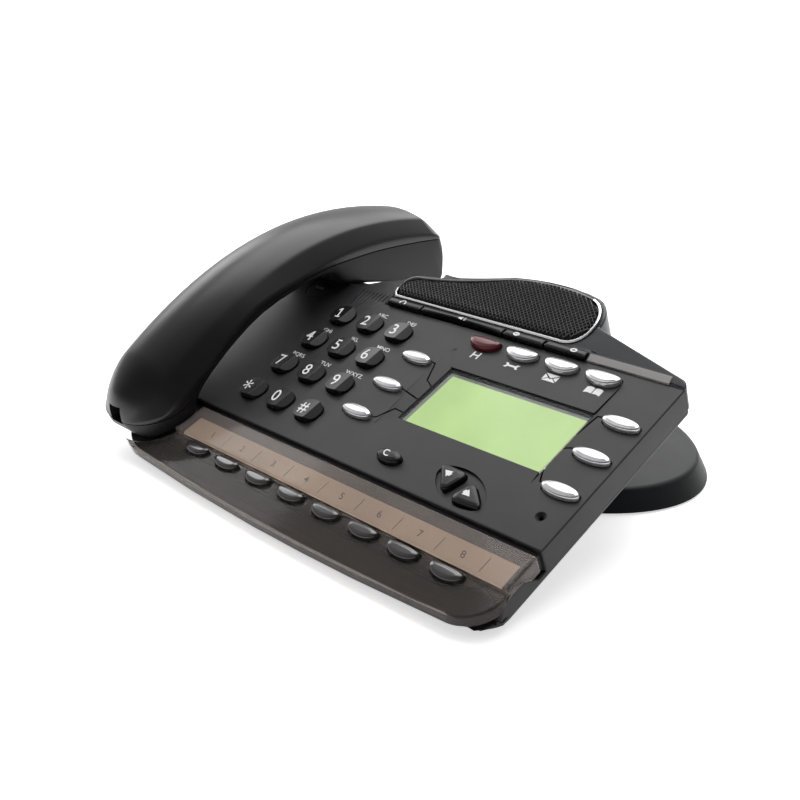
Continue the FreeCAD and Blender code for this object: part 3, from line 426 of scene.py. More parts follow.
def ramp(nodes, links, value, low, high, start=0.3, end=0.7):
    mix = nodes.new("ShaderNodeValToRGB")
    mix.color_ramp.elements[0].position = start
    mix.color_ramp.elements[0].color = (*low, 1)
    mix.color_ramp.elements[1].position = end
    mix.color_ramp.elements[1].color = (*high, 1)
    links.new(value, mix.inputs["Fac"])
    return mix.outputs["Color"]


def moulded(name, colour, rough=(0.42, 0.52), texture=0.12, texture_scale=2600, spread=0.10, coat=0.0,
            shine=0.5):
    """Moulded plastic: fine spark-eroded texture, cloudy tone and slightly uneven sheen."""
    material, nodes, links, shader, place = finish(name)
    cloud = grain(nodes, links, place, 35, 3.0)
    darker = [c * (1 - spread) for c in colour]
    lighter = [c * (1 + spread) for c in colour]
    links.new(ramp(nodes, links, cloud.outputs["Fac"], darker, lighter), shader.inputs["Base Color"])
    uneven_sheen(nodes, links, grain(nodes, links, place, 90, 2.0), shader, *rough)
    if texture:
        speck = grain(nodes, links, place, texture_scale, 1.0)
        bump = nodes.new("ShaderNodeBump")
        bump.inputs["Strength"].default_value = texture
        bump.inputs["Distance"].default_value = 0.0001
        links.new(speck.outputs["Fac"], bump.inputs["Height"])
        links.new(bump.outputs["Normal"], shader.inputs["Normal"])
    shader.inputs["Specular IOR Level"].default_value = shine
    shader.inputs["Coat Weight"].default_value = coat
    shader.inputs["Coat Roughness"].default_value = 0.08
    return material


def metallic(name, colour, rough=(0.2, 0.3), metal=1.0):
    material, nodes, links, shader, place = finish(name)
    cloud = grain(nodes, links, place, 60, 2.0)
    tone = ramp(nodes, links, cloud.outputs["Fac"], [c * 0.95 for c in colour], colour)
    links.new(tone, shader.inputs["Base Color"])
    uneven_sheen(nodes, links, grain(nodes, links, place, 150, 2.0), shader, *rough)
    shader.inputs["Metallic"].default_value = metal
    return material


def clear_plastic(name, colour, rough, bend, see_through=1.0, painted_lip_shade=None):
    """Clear moulding whose tone may be darkened along the panel as painted shade.

    The painted shade is given as the y where it starts, the y where it ends and the share of the tone at its
    start.
    """
    material, nodes, links, shader, place = finish(name)
    cloud = grain(nodes, links, place, 40, 3.0)
    tone = ramp(nodes, links, cloud.outputs["Fac"], [c * 0.93 for c in colour], colour)
    # Painted shade: the tone is scaled down toward the near y, and is darkest at and beyond it.
    if painted_lip_shade:
        near_y, far_y, near_share = painted_lip_shade
        along = panel_turn.to_3x3() @ Vector((0, 1, 0))
        reach = nodes.new("ShaderNodeVectorMath")
        reach.operation = "DOT_PRODUCT"
        reach.inputs[1].default_value = along
        links.new(place.outputs["Object"], reach.inputs[0])
        share = nodes.new("ShaderNodeMapRange")
        start = along.dot(panel_origin)
        share.inputs["From Min"].default_value = start + near_y * 0.001
        share.inputs["From Max"].default_value = start + far_y * 0.001
        share.inputs["To Min"].default_value = near_share
        links.new(reach.outputs["Value"], share.inputs["Value"])
        deepen = nodes.new("ShaderNodeVectorMath")
        deepen.operation = "SCALE"
        links.new(tone, deepen.inputs[0])
        links.new(share.outputs["Result"], deepen.inputs["Scale"])
        tone = deepen.outputs["Vector"]
    links.new(tone, shader.inputs["Base Color"])
    uneven_sheen(nodes, links, grain(nodes, links, place, 120, 2.0), shader, rough, rough * 1.6)
    shader.inputs["IOR"].default_value = bend
    shader.inputs["Specular IOR Level"].default_value = 0.35
    shader.inputs["Transmission Weight"].default_value = see_through
    return material


def display_finish(name, colour, glow):
    """Backlit liquid crystal: an even tone that is a little paler to one side."""
    material, nodes, links, shader, place = finish(name)
    cloud = grain(nodes, links, place, 14, 1.0)
    tone = ramp(nodes, links, cloud.outputs["Fac"], [c * 0.93 for c in colour], colour)
    links.new(tone, shader.inputs["Base Color"])
    links.new(tone, shader.inputs["Emission Color"])
    shader.inputs["Emission Strength"].default_value = glow
    shader.inputs["Roughness"].default_value = 0.5
    return material


HOUSING = moulded("housing_plastic", (0.018, 0.017, 0.019), (0.40, 0.50), 0.16, shine=0.25)
BEZEL = moulded("pod_plastic", (0.032, 0.034, 0.038), (0.30, 0.38), 0.05)
HANDSET = moulded("handset_plastic", (0.010, 0.009, 0.010), (0.30, 0.38), 0.10)
HANDSET_FRONT = moulded("handset_front_plastic", (0.010, 0.010, 0.011), (0.36, 0.44), 0.10, shine=0.3)
STAND = moulded("stand_plastic", (0.011, 0.012, 0.013), (0.40, 0.48), 0.14, 1800, shine=0.16)
BLACK_KEY = moulded("black_key_plastic", (0.008, 0.008, 0.009), (0.24, 0.30), 0.0, shine=0.3)
SILVER_KEY = metallic("silver_key_paint", (0.66, 0.66, 0.67), (0.24, 0.27), 0.75)
MAROON_KEY = moulded("maroon_key_plastic", (0.110, 0.012, 0.018), (0.18, 0.24), 0.0)
# Bright plating, given in pod() only to the grille rim's front and right-hand run as a painted highlight.
BRIGHT = metallic("rim_plating_painted_highlight", (0.86, 0.86, 0.87), (0.10, 0.16))
MESH_PAINT = moulded("grille_wire_paint", (0.115, 0.112, 0.112), (0.30, 0.40), 0.0)
# Near-black sheet under the grille wires: painted shade for the dark space behind the grille.
GRILLE_SHADE = moulded("grille_painted_shade", (0.003, 0.003, 0.003), (0.8, 0.9), 0.0)
# Its last value is painted shade: the cover's tone darkens toward its front lip, to 0.45 of itself below y
# -76.
SMOKY = clear_plastic("smoky_cover_plastic", (0.70, 0.63, 0.59), 0.06, 1.16, 0.88, (-76, -72, 0.45))
SMOKY_KEY = moulded("smoky_key_plastic", (0.030, 0.027, 0.027), (0.10, 0.16), 0.0, coat=0.5)
LABEL = moulded("label_card", (0.88, 0.76, 0.60), (0.55, 0.65), 0.05, 700, 0.04)
LABEL_INK = moulded("label_ink", (0.05, 0.04, 0.03), (0.6, 0.7), 0.0)
PRINT = moulded("white_print", (0.80, 0.80, 0.80), (0.45, 0.55), 0.0, spread=0.03)
GLASS = clear_plastic("display_window_plastic", (0.97, 0.98, 0.97), 0.10, 1.16)
GREEN = display_finish("display_green", (0.42, 0.60, 0.22), 0.44)
GREY_EDGE = display_finish("display_border", (0.22, 0.24, 0.22), 0.15)
LAMP = clear_plastic("lamp_plastic", (0.52, 0.51, 0.50), 0.25, 1.45, 0.35)
CONTACT = metallic("jack_contact_metal", (0.75, 0.56, 0.22), (0.25, 0.35))
JACK = moulded("jack_plastic", (0.16, 0.125, 0.05), (0.25, 0.35), 0.0)
RUBBER = moulded("foot_rubber", (0.015, 0.015, 0.015), (0.75, 0.85), 0.2)
BOARD = moulded("board_laminate", (0.02, 0.12, 0.045), (0.35, 0.45), 0.0)
SILICONE = moulded("key_mat_silicone", (0.28, 0.28, 0.29), (0.6, 0.7), 0.0)
STEEL = metallic("screw_steel", (0.55, 0.55, 0.57), (0.25, 0.4))

MATERIAL_OF_SLOT = {"housing": HOUSING, "bezel": BEZEL, "bright_rim": BRIGHT, "grille": GRILLE_SHADE,
                    "handset": HANDSET, "black_keys": BLACK_KEY, "silver_keys": SILVER_KEY,
                    "maroon_key": MAROON_KEY, "line_keys": SMOKY_KEY, "smoky_cover": SMOKY, "label": LABEL,
                    "display_window": GLASS, "display": GREY_EDGE, "lamp": LAMP, "board": BOARD,
                    "key_mat": SILICONE, "loudspeaker": MESH_PAINT, "capsules": MESH_PAINT, "sockets": JACK,
                    "screws": STEEL, "stand": STAND, "plunger": BLACK_KEY, "rubber": RUBBER}


def finish_cad_nodes():
    for part in frame["record"]["subparts"]:
        data = frame["nodes"][part["node"]].data
        data.materials.clear()
        data.materials.append(MATERIAL_OF_SLOT[part["material_slot"]])


# ---- number keys ----

FIGURE_ONE = [(-1.6, -3.3), (1.6, -3.3), (1.6, -2.5), (0.45, -2.5), (0.45, 3.2), (-0.3, 3.2),
              (-1.8, 2.2), (-1.8, 1.2), (-0.45, 2.0), (-0.45, -2.5), (-1.6, -2.5)]
LEGEND_LEAN = 6.0        # degrees by which a number key's legend facet leans left
FLANK_LEAN = 38.0        # and its flank to the right
CREASE_X = 3.0           # the crease between the two, from the key's middle
CREASE_TOP = 3.05
LEGEND_X = -1.1          # the legend's middle, from the key's middle


def digit_key(name, character, x, y):
    """Number key: a legend facet and a steeper flank at the right, with a soft crease between."""
    cap = plate(name, around(x, y, rounded_box(12, 11, 2.7, 44)), -2.4, 3.4)
    for lean, side in ((LEGEND_LEAN, -1), (FLANK_LEAN, 1)):
        tilt = math.radians(lean) * side
        open_mesh(cap)
        bpy.ops.mesh.select_all(action="SELECT")
        bpy.ops.mesh.bisect(plane_co=(x + CREASE_X, y, CREASE_TOP),
                            plane_no=(math.sin(tilt), 0, math.cos(tilt)), use_fill=True, clear_outer=True)
        close_mesh()
    round_edges(cap, 1.0, 5, 22)
    smooth(cap, 60)
    flat_faces(cap)
    settle(cap)
    node = "key_" + name[6:]
    fit(cap, BODY_OF_KEY[node], BLACK_KEY, (node,))
    drop = (CREASE_X - LEGEND_X) * math.tan(math.radians(LEGEND_LEAN))
    height = CREASE_TOP - drop + PANEL_PRINT
    size = {"*": 13.0, "#": 8.8}.get(character, 9.3)
    lift = -2.6 if character == "*" else -0.2
    if character == "1":
        legend = drawn("legend_1", [[(px + PRINT_SLANT * py, py) for px, py in FIGURE_ONE]], 0.0)
        turn = Matrix.Rotation(math.radians(-LEGEND_LEAN), 4, "Y")
        legend.matrix_world = Matrix.Translation((x + LEGEND_X, y, height)) @ turn
    else:
        legend = lettered("legend_" + name[6:], character, size, x + LEGEND_X, y + lift, height,
                          -LEGEND_LEAN, PRINT_SLANT, 0.03)
    settle(legend)
    fit(legend, BODY_OF_KEY[node], PRINT)


def number_pad():
    groups = {"2": "ABC", "3": "DEF", "4": "GHI", "5": "JKL", "6": "MNO", "7": "PQRS", "8": "TUV",
              "9": "WXYZ"}
    rows = (("1", "2", "3"), ("4", "5", "6"), ("7", "8", "9"), ("*", "0", "#"))
    words = {"*": "star", "#": "hash"}
    prints = []
    for row, characters in enumerate(rows):
        for column, character in enumerate(characters):
            x = PAD_LEFT + PAD_COLUMN * column
            y = PAD_ROW * (1 - row)
            digit_key("digit_" + words.get(character, character), character, x, y)
            if character in groups:
                prints.append(lettered("group", groups[character], 3.3, x + 0.6, y + 8.2, PANEL_PRINT,
                                       0, -0.35, 0.01))
    pip = pillow("key_5_pip", around(-44.2, 2.6, rounded_box(0.9, 0.9, 2, 14)), 2.4, 3.0, 0.25, 0.05, 0.1)
    settle(pip)
    fit(pip, BODY_OF_KEY["key_5"], BLACK_KEY)
    groups_print = joined("letter_groups", prints)
    settle(groups_print)
    fit(groups_print, "phone", PRINT)


# ---- other keys ----

def key_piece(node, outline, low, top, edge, crown, crown_reach, material):
    cap = pillow(node + "_cap", outline, low, top, edge, crown, crown_reach)
    settle(cap)
    return fit(cap, BODY_OF_KEY[node], material, (node,))


def silver_keys():
    for row in range(3):
        y = 8.7 - 18.7 * row
        for side, x in (("left", -2.0), ("right", 98.9)):
            outline = around(x, y, rounded_box(15.4, 6.0, 2.05, 48))
            key_piece("soft_key_%s_%d" % (side, row + 1), outline, KEY_FOOT, 2.1, 1.0, 0.35, 1.4,
                      SILVER_KEY)
    for column, label in enumerate(("hold", "program", "message", "directory")):
        outline = around(20.0 + 19.4 * column, 27.4, half_moon(15.4, 6.6))
        material = MAROON_KEY if label == "hold" else SILVER_KEY
        key_piece(label + "_key", outline, KEY_FOOT, 2.3, 1.0, 0.35, 1.3, material)


def arrow(x, y, turn):
    """Block arrow, pointing up the panel before it is turned."""
    return around(x, y, [(-1.7, -1.0), (-0.8, -1.0), (-0.8, -1.7), (0.8, -1.7), (0.8, -1.0), (1.7, -1.0),
                         (0, 2.1)], turn)


def black_keys():
    outline = around(30.0, -43.0, rounded_box(11.6, 6.6, 2.05, 40))
    key_piece("clear_key", outline, KEY_FOOT, 2.2, 1.1, 0.3, 1.2, BLACK_KEY)
    legend = lettered("clear_legend", "C", 4.4, 29.4, -43.0, 2.5, 0, PRINT_SLANT, 0.06)
    settle(legend)
    fit(legend, BODY_OF_KEY["clear_key"], PRINT)
    sides = (("left", [(50.6, -36.0), (60.7, -48.8), (64.8, -36.4)], (57.5, -39.9, 69)),
             ("right", [(68.5, -38.2), (64.8, -49.9), (80.2, -48.8)], (70.5, -45.0, -114)))
    for label, corners, mark in sides:
        node = "scroll_%s_key" % label
        key_piece(node, rounded_polygon(corners, 4.4, 8), KEY_FOOT, 1.2, 0.9, 0.3, 1.2, BLACK_KEY)
        glyph = drawn(node + "_arrow", [arrow(*mark)], 1.53)
        settle(glyph)
        fit(glyph, BODY_OF_KEY[node], PRINT)


def pod_key_row():
    near = 34.95
    far = 38.3
    spans = (("headset", -43.6, -23.4), ("speaker", -22.6, 23.4), ("volume_down", 24.2, 44.6),
             ("volume_up", 45.4, 65.2))
    for label, left, right in spans:
        front = [(left, near), (right, near)]
        if label == "speaker":
            steps = [k / 12 for k in range(13)]
            front = [(left + (right - left) * t, near + 1.2 * math.sin(math.pi * t) ** 0.7) for t in steps]
        outline = rounded_polygon(front + [(right, far), (left, far)], 0.4, 3)
        key_piece(label + "_key", outline, KEY_FOOT, 2.4, 0.6, 0.15, 0.5, BLACK_KEY)


def headset_symbol():
    x = -34.6
    y = POD_KEY_MIDDLE
    angles = [math.pi * k / 10 for k in range(11)]
    band = [(x + 1.6 * math.cos(a), y + 1.25 * math.sin(a)) for a in angles]
    inner = [(x + 1.15 * math.cos(a), y + 0.8 * math.sin(a)) for a in reversed(angles)]
    cups = [around(x + side * 1.45, y - 0.45, rounded_box(0.8, 1.3, 3, 12)) for side in (-1, 1)]
    strokes = [drawn("band", [band + inner], POD_KEY_PRINT), drawn("cup", cups, POD_KEY_PRINT)]
    symbol = joined("headset_symbol", strokes)
    settle(symbol)
    fit(symbol, BODY_OF_KEY["headset_key"], PRINT)


def volume_symbols():
    """A ring with a minus in it, and one with a plus."""
    minus = [(-0.95, -0.17), (0.95, -0.17), (0.95, 0.17), (-0.95, 0.17)]
    plus = [(-0.95, -0.17), (-0.2, -0.17), (-0.2, -0.7), (0.2, -0.7), (0.2, -0.17), (0.95, -0.17),
            (0.95, 0.17), (0.2, 0.17), (0.2, 0.7), (-0.2, 0.7), (-0.2, 0.17), (-0.95, 0.17)]
    ring = rounded_box(3.2, 2.3, 2, 28)
    for label, x, sign in (("volume_down", 30.5, minus), ("volume_up", 59.2, plus)):
        strokes = [around(x, POD_KEY_MIDDLE, ring), around(x, POD_KEY_MIDDLE, sign)]
        symbol = drawn(label + "_symbol", strokes, POD_KEY_PRINT)
        settle(symbol)
        fit(symbol, BODY_OF_KEY[label + "_key"], PRINT)


def loudspeaker_symbol():
    x = 1.4
    y = 36.7
    horn = [(-2.6, -0.5), (-1.5, -0.5), (-0.6, -1.0), (-0.6, 1.0), (-1.5, 0.5), (-2.6, 0.5)]
    angles = [-1 + 0.2 * k for k in range(11)]
    strokes = [around(x, y, horn)]
    for reach in (0.6, 1.4):
        outer = [(reach * math.cos(a), 1.1 * reach * math.sin(a) * 0.8) for a in angles]
        inner = [(px - 0.28, py * 0.9) for px, py in reversed(outer)]
        strokes.append(around(x, y, outer + inner))
    symbol = drawn("loudspeaker_symbol", strokes, POD_KEY_PRINT)
    settle(symbol)
    fit(symbol, BODY_OF_KEY["speaker_key"], PRINT)


def pod_keys():
    pod_key_row()
    headset_symbol()
    volume_symbols()
    loudspeaker_symbol()


def line_keys():
    for number in range(8):
        outline = around(-54.4 + LINE_PITCH * number, -75.4, half_moon(14.0, 5.6))
        key_piece("line_key_%d" % (number + 1), outline, -4.6, -0.5, 0.9, 0.3, 1.2, SMOKY_KEY)


# ---- symbols printed on the panel ----

def panel_symbols():
    marks = []
    letter = [(-1.9, -2.0), (-1.2, -2.0), (-1.2, -0.3), (1.2, -0.3), (1.2, -2.0), (1.9, -2.0), (1.9, 2.0),
              (1.2, 2.0), (1.2, 0.35), (-1.2, 0.35), (-1.2, 2.0), (-1.9, 2.0)]
    marks.append(drawn("hold_symbol", [around(20.6, 20.8, letter)], PANEL_PRINT))
    jaw = [(-1.7, 0.5), (-2.3, 1.4), (-3.6, 1.2), (-2.8, 0.4), (-2.8, -0.4), (-3.6, -1.2), (-2.3, -1.4),
           (-1.7, -0.5)]
    spanner = jaw + [(-x, -y) for x, y in jaw]
    marks.append(drawn("spanner_symbol", [around(39.4, 20.9, spanner)], PANEL_PRINT))
    x = 58.7
    y = 21.0
    flap = [(x - 3.3, y + 2.1), (x + 3.3, y + 2.1), (x, y - 0.2)]
    left = [(x - 3.3, y + 1.5), (x - 1.3, y - 0.1), (x - 3.3, y - 1.6)]
    right = [(x + 3.3, y + 1.5), (x + 1.3, y - 0.1), (x + 3.3, y - 1.6)]
    foot = [(x - 3.2, y - 2.1), (x - 0.9, y - 0.3), (x, y - 0.9), (x + 0.9, y - 0.3), (x + 3.2, y - 2.1)]
    marks.append(drawn("envelope_symbol", [flap, left, right, foot], PANEL_PRINT))
    x = 78.6
    pages = []
    for side in (-1, 1):
        page = [(0.2, -1.6), (0.2, 1.5), (1.2, 2.0), (2.4, 2.0), (3.6, 1.5), (3.6, -1.9), (2.4, -1.4),
                (1.2, -1.4)]
        pages.append([(x + side * px, y + py) for px, py in page])
    marks.append(drawn("book_symbol", pages, PANEL_PRINT))
    printed = joined("panel_symbols", marks)
    settle(printed)
    fit(printed, "phone", PRINT)


# ---- display ----

def rectangle(left, right, near, far):
    return [(left, near), (right, near), (right, far), (left, far)]


def display():
    """The display's grey border, and on it the lit field."""
    low = -2.55
    middle = low + 0.06
    border = plate("display_border", rectangle(15.6, 85.9, -23.6, 10.4), low, middle)
    settle(border)
    fit(border, "phone", GREY_EDGE)
    green = plate("display_field", rectangle(18.6, 84.6, -23.4, 7.6), middle, low + 0.14)
    settle(green)
    fit(green, "phone", GREEN)


# ---- front cover ----

def front_cover():
    cover = carried_over("smoky_front_cover", "clear_cover", 0.8, 0.3, lambda p: p.z > -5.5, 4)
    fit(cover, "phone", SMOKY, ("clear_cover",))
    ink = []
    for number in range(1, 9):
        x = -64.4 + LINE_PITCH * number
        ink.append(drawn("divider", [rectangle(x - 0.15, x + 0.15, -69.4, -63.0)], LABEL_FACE, 0.06))
        ink.append(lettered("number", str(number), 4.4, x - 9.0, -66.2, LABEL_FACE, 0, PRINT_SLANT, 0.01,
                            0.06))
    labels = joined("label_numbers", ink)
    settle(labels)
    fit(labels, "phone", LABEL_INK)


# ---- speaker pod ----

def pod_height(y):
    """Height of the pod's curved top above the panel."""
    t = (y - 34.6) / 27.4
    return 0.3 + 8.6 * t - 0.75 * t * t


def grille_outline(count=12):
    low = 40.1
    high = 63.4
    left = -42.4
    right = 60.6
    points = [(left + 1.5, low), (right - 11, low)]
    arcs = (((right - 11, low), (right - 2.4, low + 3.4), (right, low + 10)),
            ((right, low + 10), (right - 2.2, low + 16.4), (right - 8.2, low + 20.6)),
            ((right - 8.2, low + 20.6), (right - 27, high), (right - 50, high - 2.4)),
            ((right - 50, high - 2.4), (left + 34, high - 8.6), (left + 8, low + 10)),
            ((left + 8, low + 10), (left + 1.2, low + 6.4), (left, low + 1.6)))
    for start, middle, end in arcs:
        for k in range(1, count + 1):
            t = k / count
            bend = [2 * m - 0.5 * (a + b) for a, m, b in zip(start, middle, end)]
            points.append(tuple(a * (1 - t) ** 2 + c * 2 * t * (1 - t) + b * t ** 2
                                for a, c, b in zip(start, bend, end)))
    return points


def depth_inside(x, y, outline):
    """Distance from a point to the outline, negative outside it."""
    nearest = 1e9
    inside = False
    for k, (x0, y0) in enumerate(outline):
        x1, y1 = outline[(k + 1) % len(outline)]
        dx = x1 - x0
        dy = y1 - y0
        t = max(0.0, min(1.0, ((x - x0) * dx + (y - y0) * dy) / (dx * dx + dy * dy + 1e-12)))
        nearest = min(nearest, math.hypot(x - x0 - t * dx, y - y0 - t * dy))
        if (y0 > y) != (y1 > y) and x < x0 + (y - y0) * dx / dy:
            inside = not inside
    return nearest if inside else -nearest


def grille_dome(x, y, outline):
    reach = max(0.0, min(1.0, depth_inside(x, y, outline) / 3.2))
    return pod_height(y) + 0.2 + 2.1 * math.sqrt(1 - (1 - reach) ** 2)


def speaker_grille():
    """A weave of wires over a curved near-black sheet, painted shade for the dark space behind the grille."""
    outline = grille_outline()
    pitch = 1.42
    wires_across = 84
    bpy.ops.mesh.primitive_grid_add(x_subdivisions=wires_across, y_subdivisions=wires_across,
                                    size=wires_across * pitch, location=(9, 51, 0),
                                    rotation=(0, 0, math.radians(45)))
    wires = named("grille_wires")
    bpy.ops.object.transform_apply(location=True, rotation=True, scale=True)
    open_mesh(wires, "VERT")
    bpy.ops.mesh.select_all(action="DESELECT")
    close_mesh()
    for vertex in wires.data.vertices:
        vertex.select = depth_inside(vertex.co.x, vertex.co.y, outline) < 0.25
    open_mesh(wires, "VERT")
    bpy.ops.mesh.delete(type="VERT")
    close_mesh()
    for vertex in wires.data.vertices:
        x, y = vertex.co.x, vertex.co.y
        u = round((x + y) / (pitch * math.sqrt(2)) * 2)
        vertex.co.z = grille_dome(x, y, outline) + (0.10 if u % 2 else -0.10)
    apply_modifier(wires, "WIREFRAME", thickness=0.56, use_replace=True, use_even_offset=False,
                   use_boundary=True)
    smooth(wires, 60)
    settle(wires)
    fit(wires, "phone", MESH_PAINT)
    # The curved near-black sheet under the wires is painted shade.
    back = raised("grille_painted_shade", outline, -1.0, 0.4)
    for k in range(6):
        bpy.ops.mesh.inset(thickness=0.45, depth=0)
    close_mesh()
    for vertex in back.data.vertices:
        if vertex.co.z > 0:
            vertex.co.z = grille_dome(vertex.co.x, vertex.co.y, outline) - 0.75
    face_outwards(back)
    settle(back)
    fit(back, "phone", GRILLE_SHADE, ("speaker_grille",))


def front_of_ring(name):
    """A block around the grille rim's front and right-hand run, the part given bright plating as a painted
    highlight.
    """
    corners = [(-60, 30), (80, 30), (80, 80), (53, 80), (53, 43.2), (-60, 43.2)]
    cutter = plate(name, corners, -20, 40)
    settle(cutter)
    return cutter


def pod():
    bezel = carried_over("pod_bezel", "speaker_bezel", 0.7, 0.3)
    fit(bezel, "phone", BEZEL, ("speaker_bezel",))
    # The one rim is made twice: its front and right-hand run in bright plating as a painted highlight, the
    # rest in dark wire paint as painted shade.
    bright = carried_over("bright_rim", "grille_rim", 0.25)
    dark = carried_over("dark_rim", "grille_rim", 0.25)
    cut_with(bright, front_of_ring("front_cutter"), "INTERSECT")
    cut_with(dark, front_of_ring("rear_cutter"))
    fit(bright, "phone", BRIGHT, ("grille_rim",))
    fit(dark, "phone", MESH_PAINT)
    speaker_grille()


# ---- housing ----

def on_rim(p):
    """Whether a point of the panel lies on the housing's outer edges, and not on a window's."""
    outside = p.x > 107.6 or p.x < -107.6 or p.y > 49.5 or p.y < -52.6
    return outside or p.z < -11


def off_foot_rim(p):
    """Whether a point lies off the upper rim of the oval foot: on its underside, the column or the clips."""
    low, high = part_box("desk_stand")
    place = PANEL @ p
    reach = sum(((2 * place[k] - low[k] - high[k]) / (high[k] - low[k])) ** 2 for k in (0, 1))
    return reach < 0.8 or place.z < 0.004


def in_ribs(p):
    """Whether a point lies on the narrow slots beside the ear cup."""
    return -67 < p.x < -45 and 34 < p.y < 42


def housing():
    panel = carried_over("panel", "top_cover", 0.6, 0.22, on_rim, sharp=in_ribs)
    fit(panel, "phone", HOUSING, ("top_cover",))
    base = carried_over("base", "base_shell", 0.7, 0.3)
    fit(base, "phone", HOUSING, ("base_shell",))
    stand = carried_over("oval_stand", "desk_stand", 1.6, 0.2, None, 4, 40, sharp=off_foot_rim)
    fit(stand, "phone", STAND, ("desk_stand",))
    tab = carried_over("retaining_tab", "handset_tab", 0.25)
    fit(tab, "tab", HOUSING, ("handset_tab",))


# ---- handset ----

def between(table, y):
    """Smooth value at y from a table of (y, value) in rising order."""
    if y <= table[0][0]:
        return table[0][1]
    if y >= table[-1][0]:
        return table[-1][1]
    for k in range(len(table) - 1):
        y0, v0 = table[k]
        y1, v1 = table[k + 1]
        if y0 <= y <= y1:
            before = table[max(k - 1, 0)]
            after = table[min(k + 2, len(table) - 1)]
            m0 = (v1 - before[1]) / max(y1 - before[0], 1e-6) * (y1 - y0)
            m1 = (after[1] - v0) / max(after[0] - y0, 1e-6) * (y1 - y0)
            t = (y - y0) / (y1 - y0)
            return ((2 * t ** 3 - 3 * t ** 2 + 1) * v0 + (t ** 3 - 2 * t ** 2 + t) * m0
                    + (3 * t ** 2 - 2 * t ** 3) * v1 + (t ** 3 - t ** 2) * m1)


# Heights along the handset, as (y, height) from its near end to its far end.
NOSE_TOP = [(-84.5, 5.0), (-84.2, 8.0), (-83.2, 11.6), (-81.5, 14.6), (-79, 17.7), (-75, 21.0), (-70, 24.4),
            (-65, 27.0), (-60, 28.9), (-55, 30.1)]
PARTING = [(-84.5, 6.3), (-78.2, 5.1), (-68.8, 4.2), (-59.7, 5.4), (-53.7, 8.5), (-42, 13.4), (-26.3, 18.1),
           (-11.1, 20.8), (9.3, 19.4), (30.1, 16.1), (43.8, 12.4), (63.5, 5.8), (86.5, -3.9), (106, -13.2)]
UNDERSIDE = [(-84.4, 5.4), (-84.0, 2.6), (-83.0, 0.0), (-81.2, -1.9), (-79, -2.7), (-61.2, -2.7),
             (-59.7, -1.6), (-56.5, 3.0), (-54.0, 5.2), (-47.8, 8.5), (-37.6, 12.0), (-28.1, 14.6),
             (-12.9, 17.3), (1.3, 17.5), (12.3, 16.6), (20.9, 15.4), (28.5, 13.2), (33.2, 10.2),
             (35.6, 6.6), (37.4, 3.0), (40.0, 1.1), (66.0, -14.5), (94.0, -31.3), (96.0, -32.2),
             (97.6, -31.6), (99.5, -28.0), (102, -22.3), (104.4, -16.9), (106, -13.6)]
FAR_TOP = [(99.0, 5.9), (100.0, 4.4), (101.0, 2.6), (104.0, -3.4), (104.8, -5.6), (105.5, -9.4), (106, -13.0)]


def crown_curve(y):
    """Height of the handset's back, before its two ends are rounded down."""
    t = y / 100
    return 36.5 - 1.4 * t - 26.5 * t * t - 3.6 * t ** 3


def crown_height(y):
    if y < NOSE_TOP[-1][0]:
        return min(crown_curve(y), between(NOSE_TOP, y))
    if y > FAR_TOP[0][0]:
        return min(crown_curve(y), between(FAR_TOP, y))
    return crown_curve(y)


def crease_height(y):
    """Height of the soft edge between the handset's back and its side."""
    return crown_curve(y) - 7.2 + 3.4 * (y / 100)


def half_width(y):
    """Half of the handset's width, with corners of 20 mm at the near end and 5 mm at the far end."""
    nose_start = -64.5
    far_start = 101
    if y < nose_start:
        return HANDSET_HALF_WIDTH - 20 + math.sqrt(max(20 ** 2 - (nose_start - y) ** 2, 0.0))
    if y > far_start:
        return HANDSET_HALF_WIDTH - 5 + math.sqrt(max(5 ** 2 - (y - far_start) ** 2, 0.0))
    return HANDSET_HALF_WIDTH


def rounded_line(corners, radii, steps=5):
    """An open line whose inner corners are rounded with given reaches."""
    points = [corners[0]]
    for k in range(1, len(corners) - 1):
        here = Vector(corners[k])
        before = Vector(corners[k - 1]) - here
        after = Vector(corners[k + 1]) - here
        reach = min(radii[k - 1], 0.49 * before.length, 0.49 * after.length)
        start = here + before.normalized() * reach
        end = here + after.normalized() * reach
        for j in range(steps + 1):
            t = j / steps
            p = start * (1 - t) ** 2 + here * 2 * t * (1 - t) + end * t ** 2
            points.append((p.x, p.y))
    points.append(corners[-1])
    return points


def outer_section(y):
    """Half of the outer shell's section, from the parting line up to the middle of the crown."""
    side = HANDSET_HALF_WIDTH
    share = half_width(y) / side
    low = between(PARTING, y)
    full = crown_curve(y)
    squash = max((crown_height(y) - low) / (full - low), 0.002)
    crease = crease_height(y)
    crease_x = 17.5
    steps = 7
    arc = [(crease_x - crease_x * k / steps, crease + (full - crease) * (1 - (1 - k / steps) ** 2))
           for k in range(1, steps + 1)]
    corners = [(side - 0.6, low), (side, low), (side, max(crease - 9.0, low + 2.0)), (crease_x, crease)]
    line = rounded_line(corners + arc, [0.5, 5.0, 2.2] + [1.0] * (steps - 1), 4)
    return [(x * share, low + (z - low) * squash) for x, z in line]


def inner_section(y):
    """Half of the inner shell's section, from the parting line down to the middle of its underside."""
    w = half_width(y) - 0.25
    high = between(PARTING, y) - 0.4
    low = min(between(UNDERSIDE, y), high - 0.2)
    corners = [(w - 0.6, high), (w, high), (w, low), (0.5 * w, low), (0.0, low)]
    toward_ear = min(max((y - 45) / 20, 0.0), 1.0)
    return rounded_line(corners, [0.5, 2.6 - 1.6 * toward_ear, 1.0], 4)


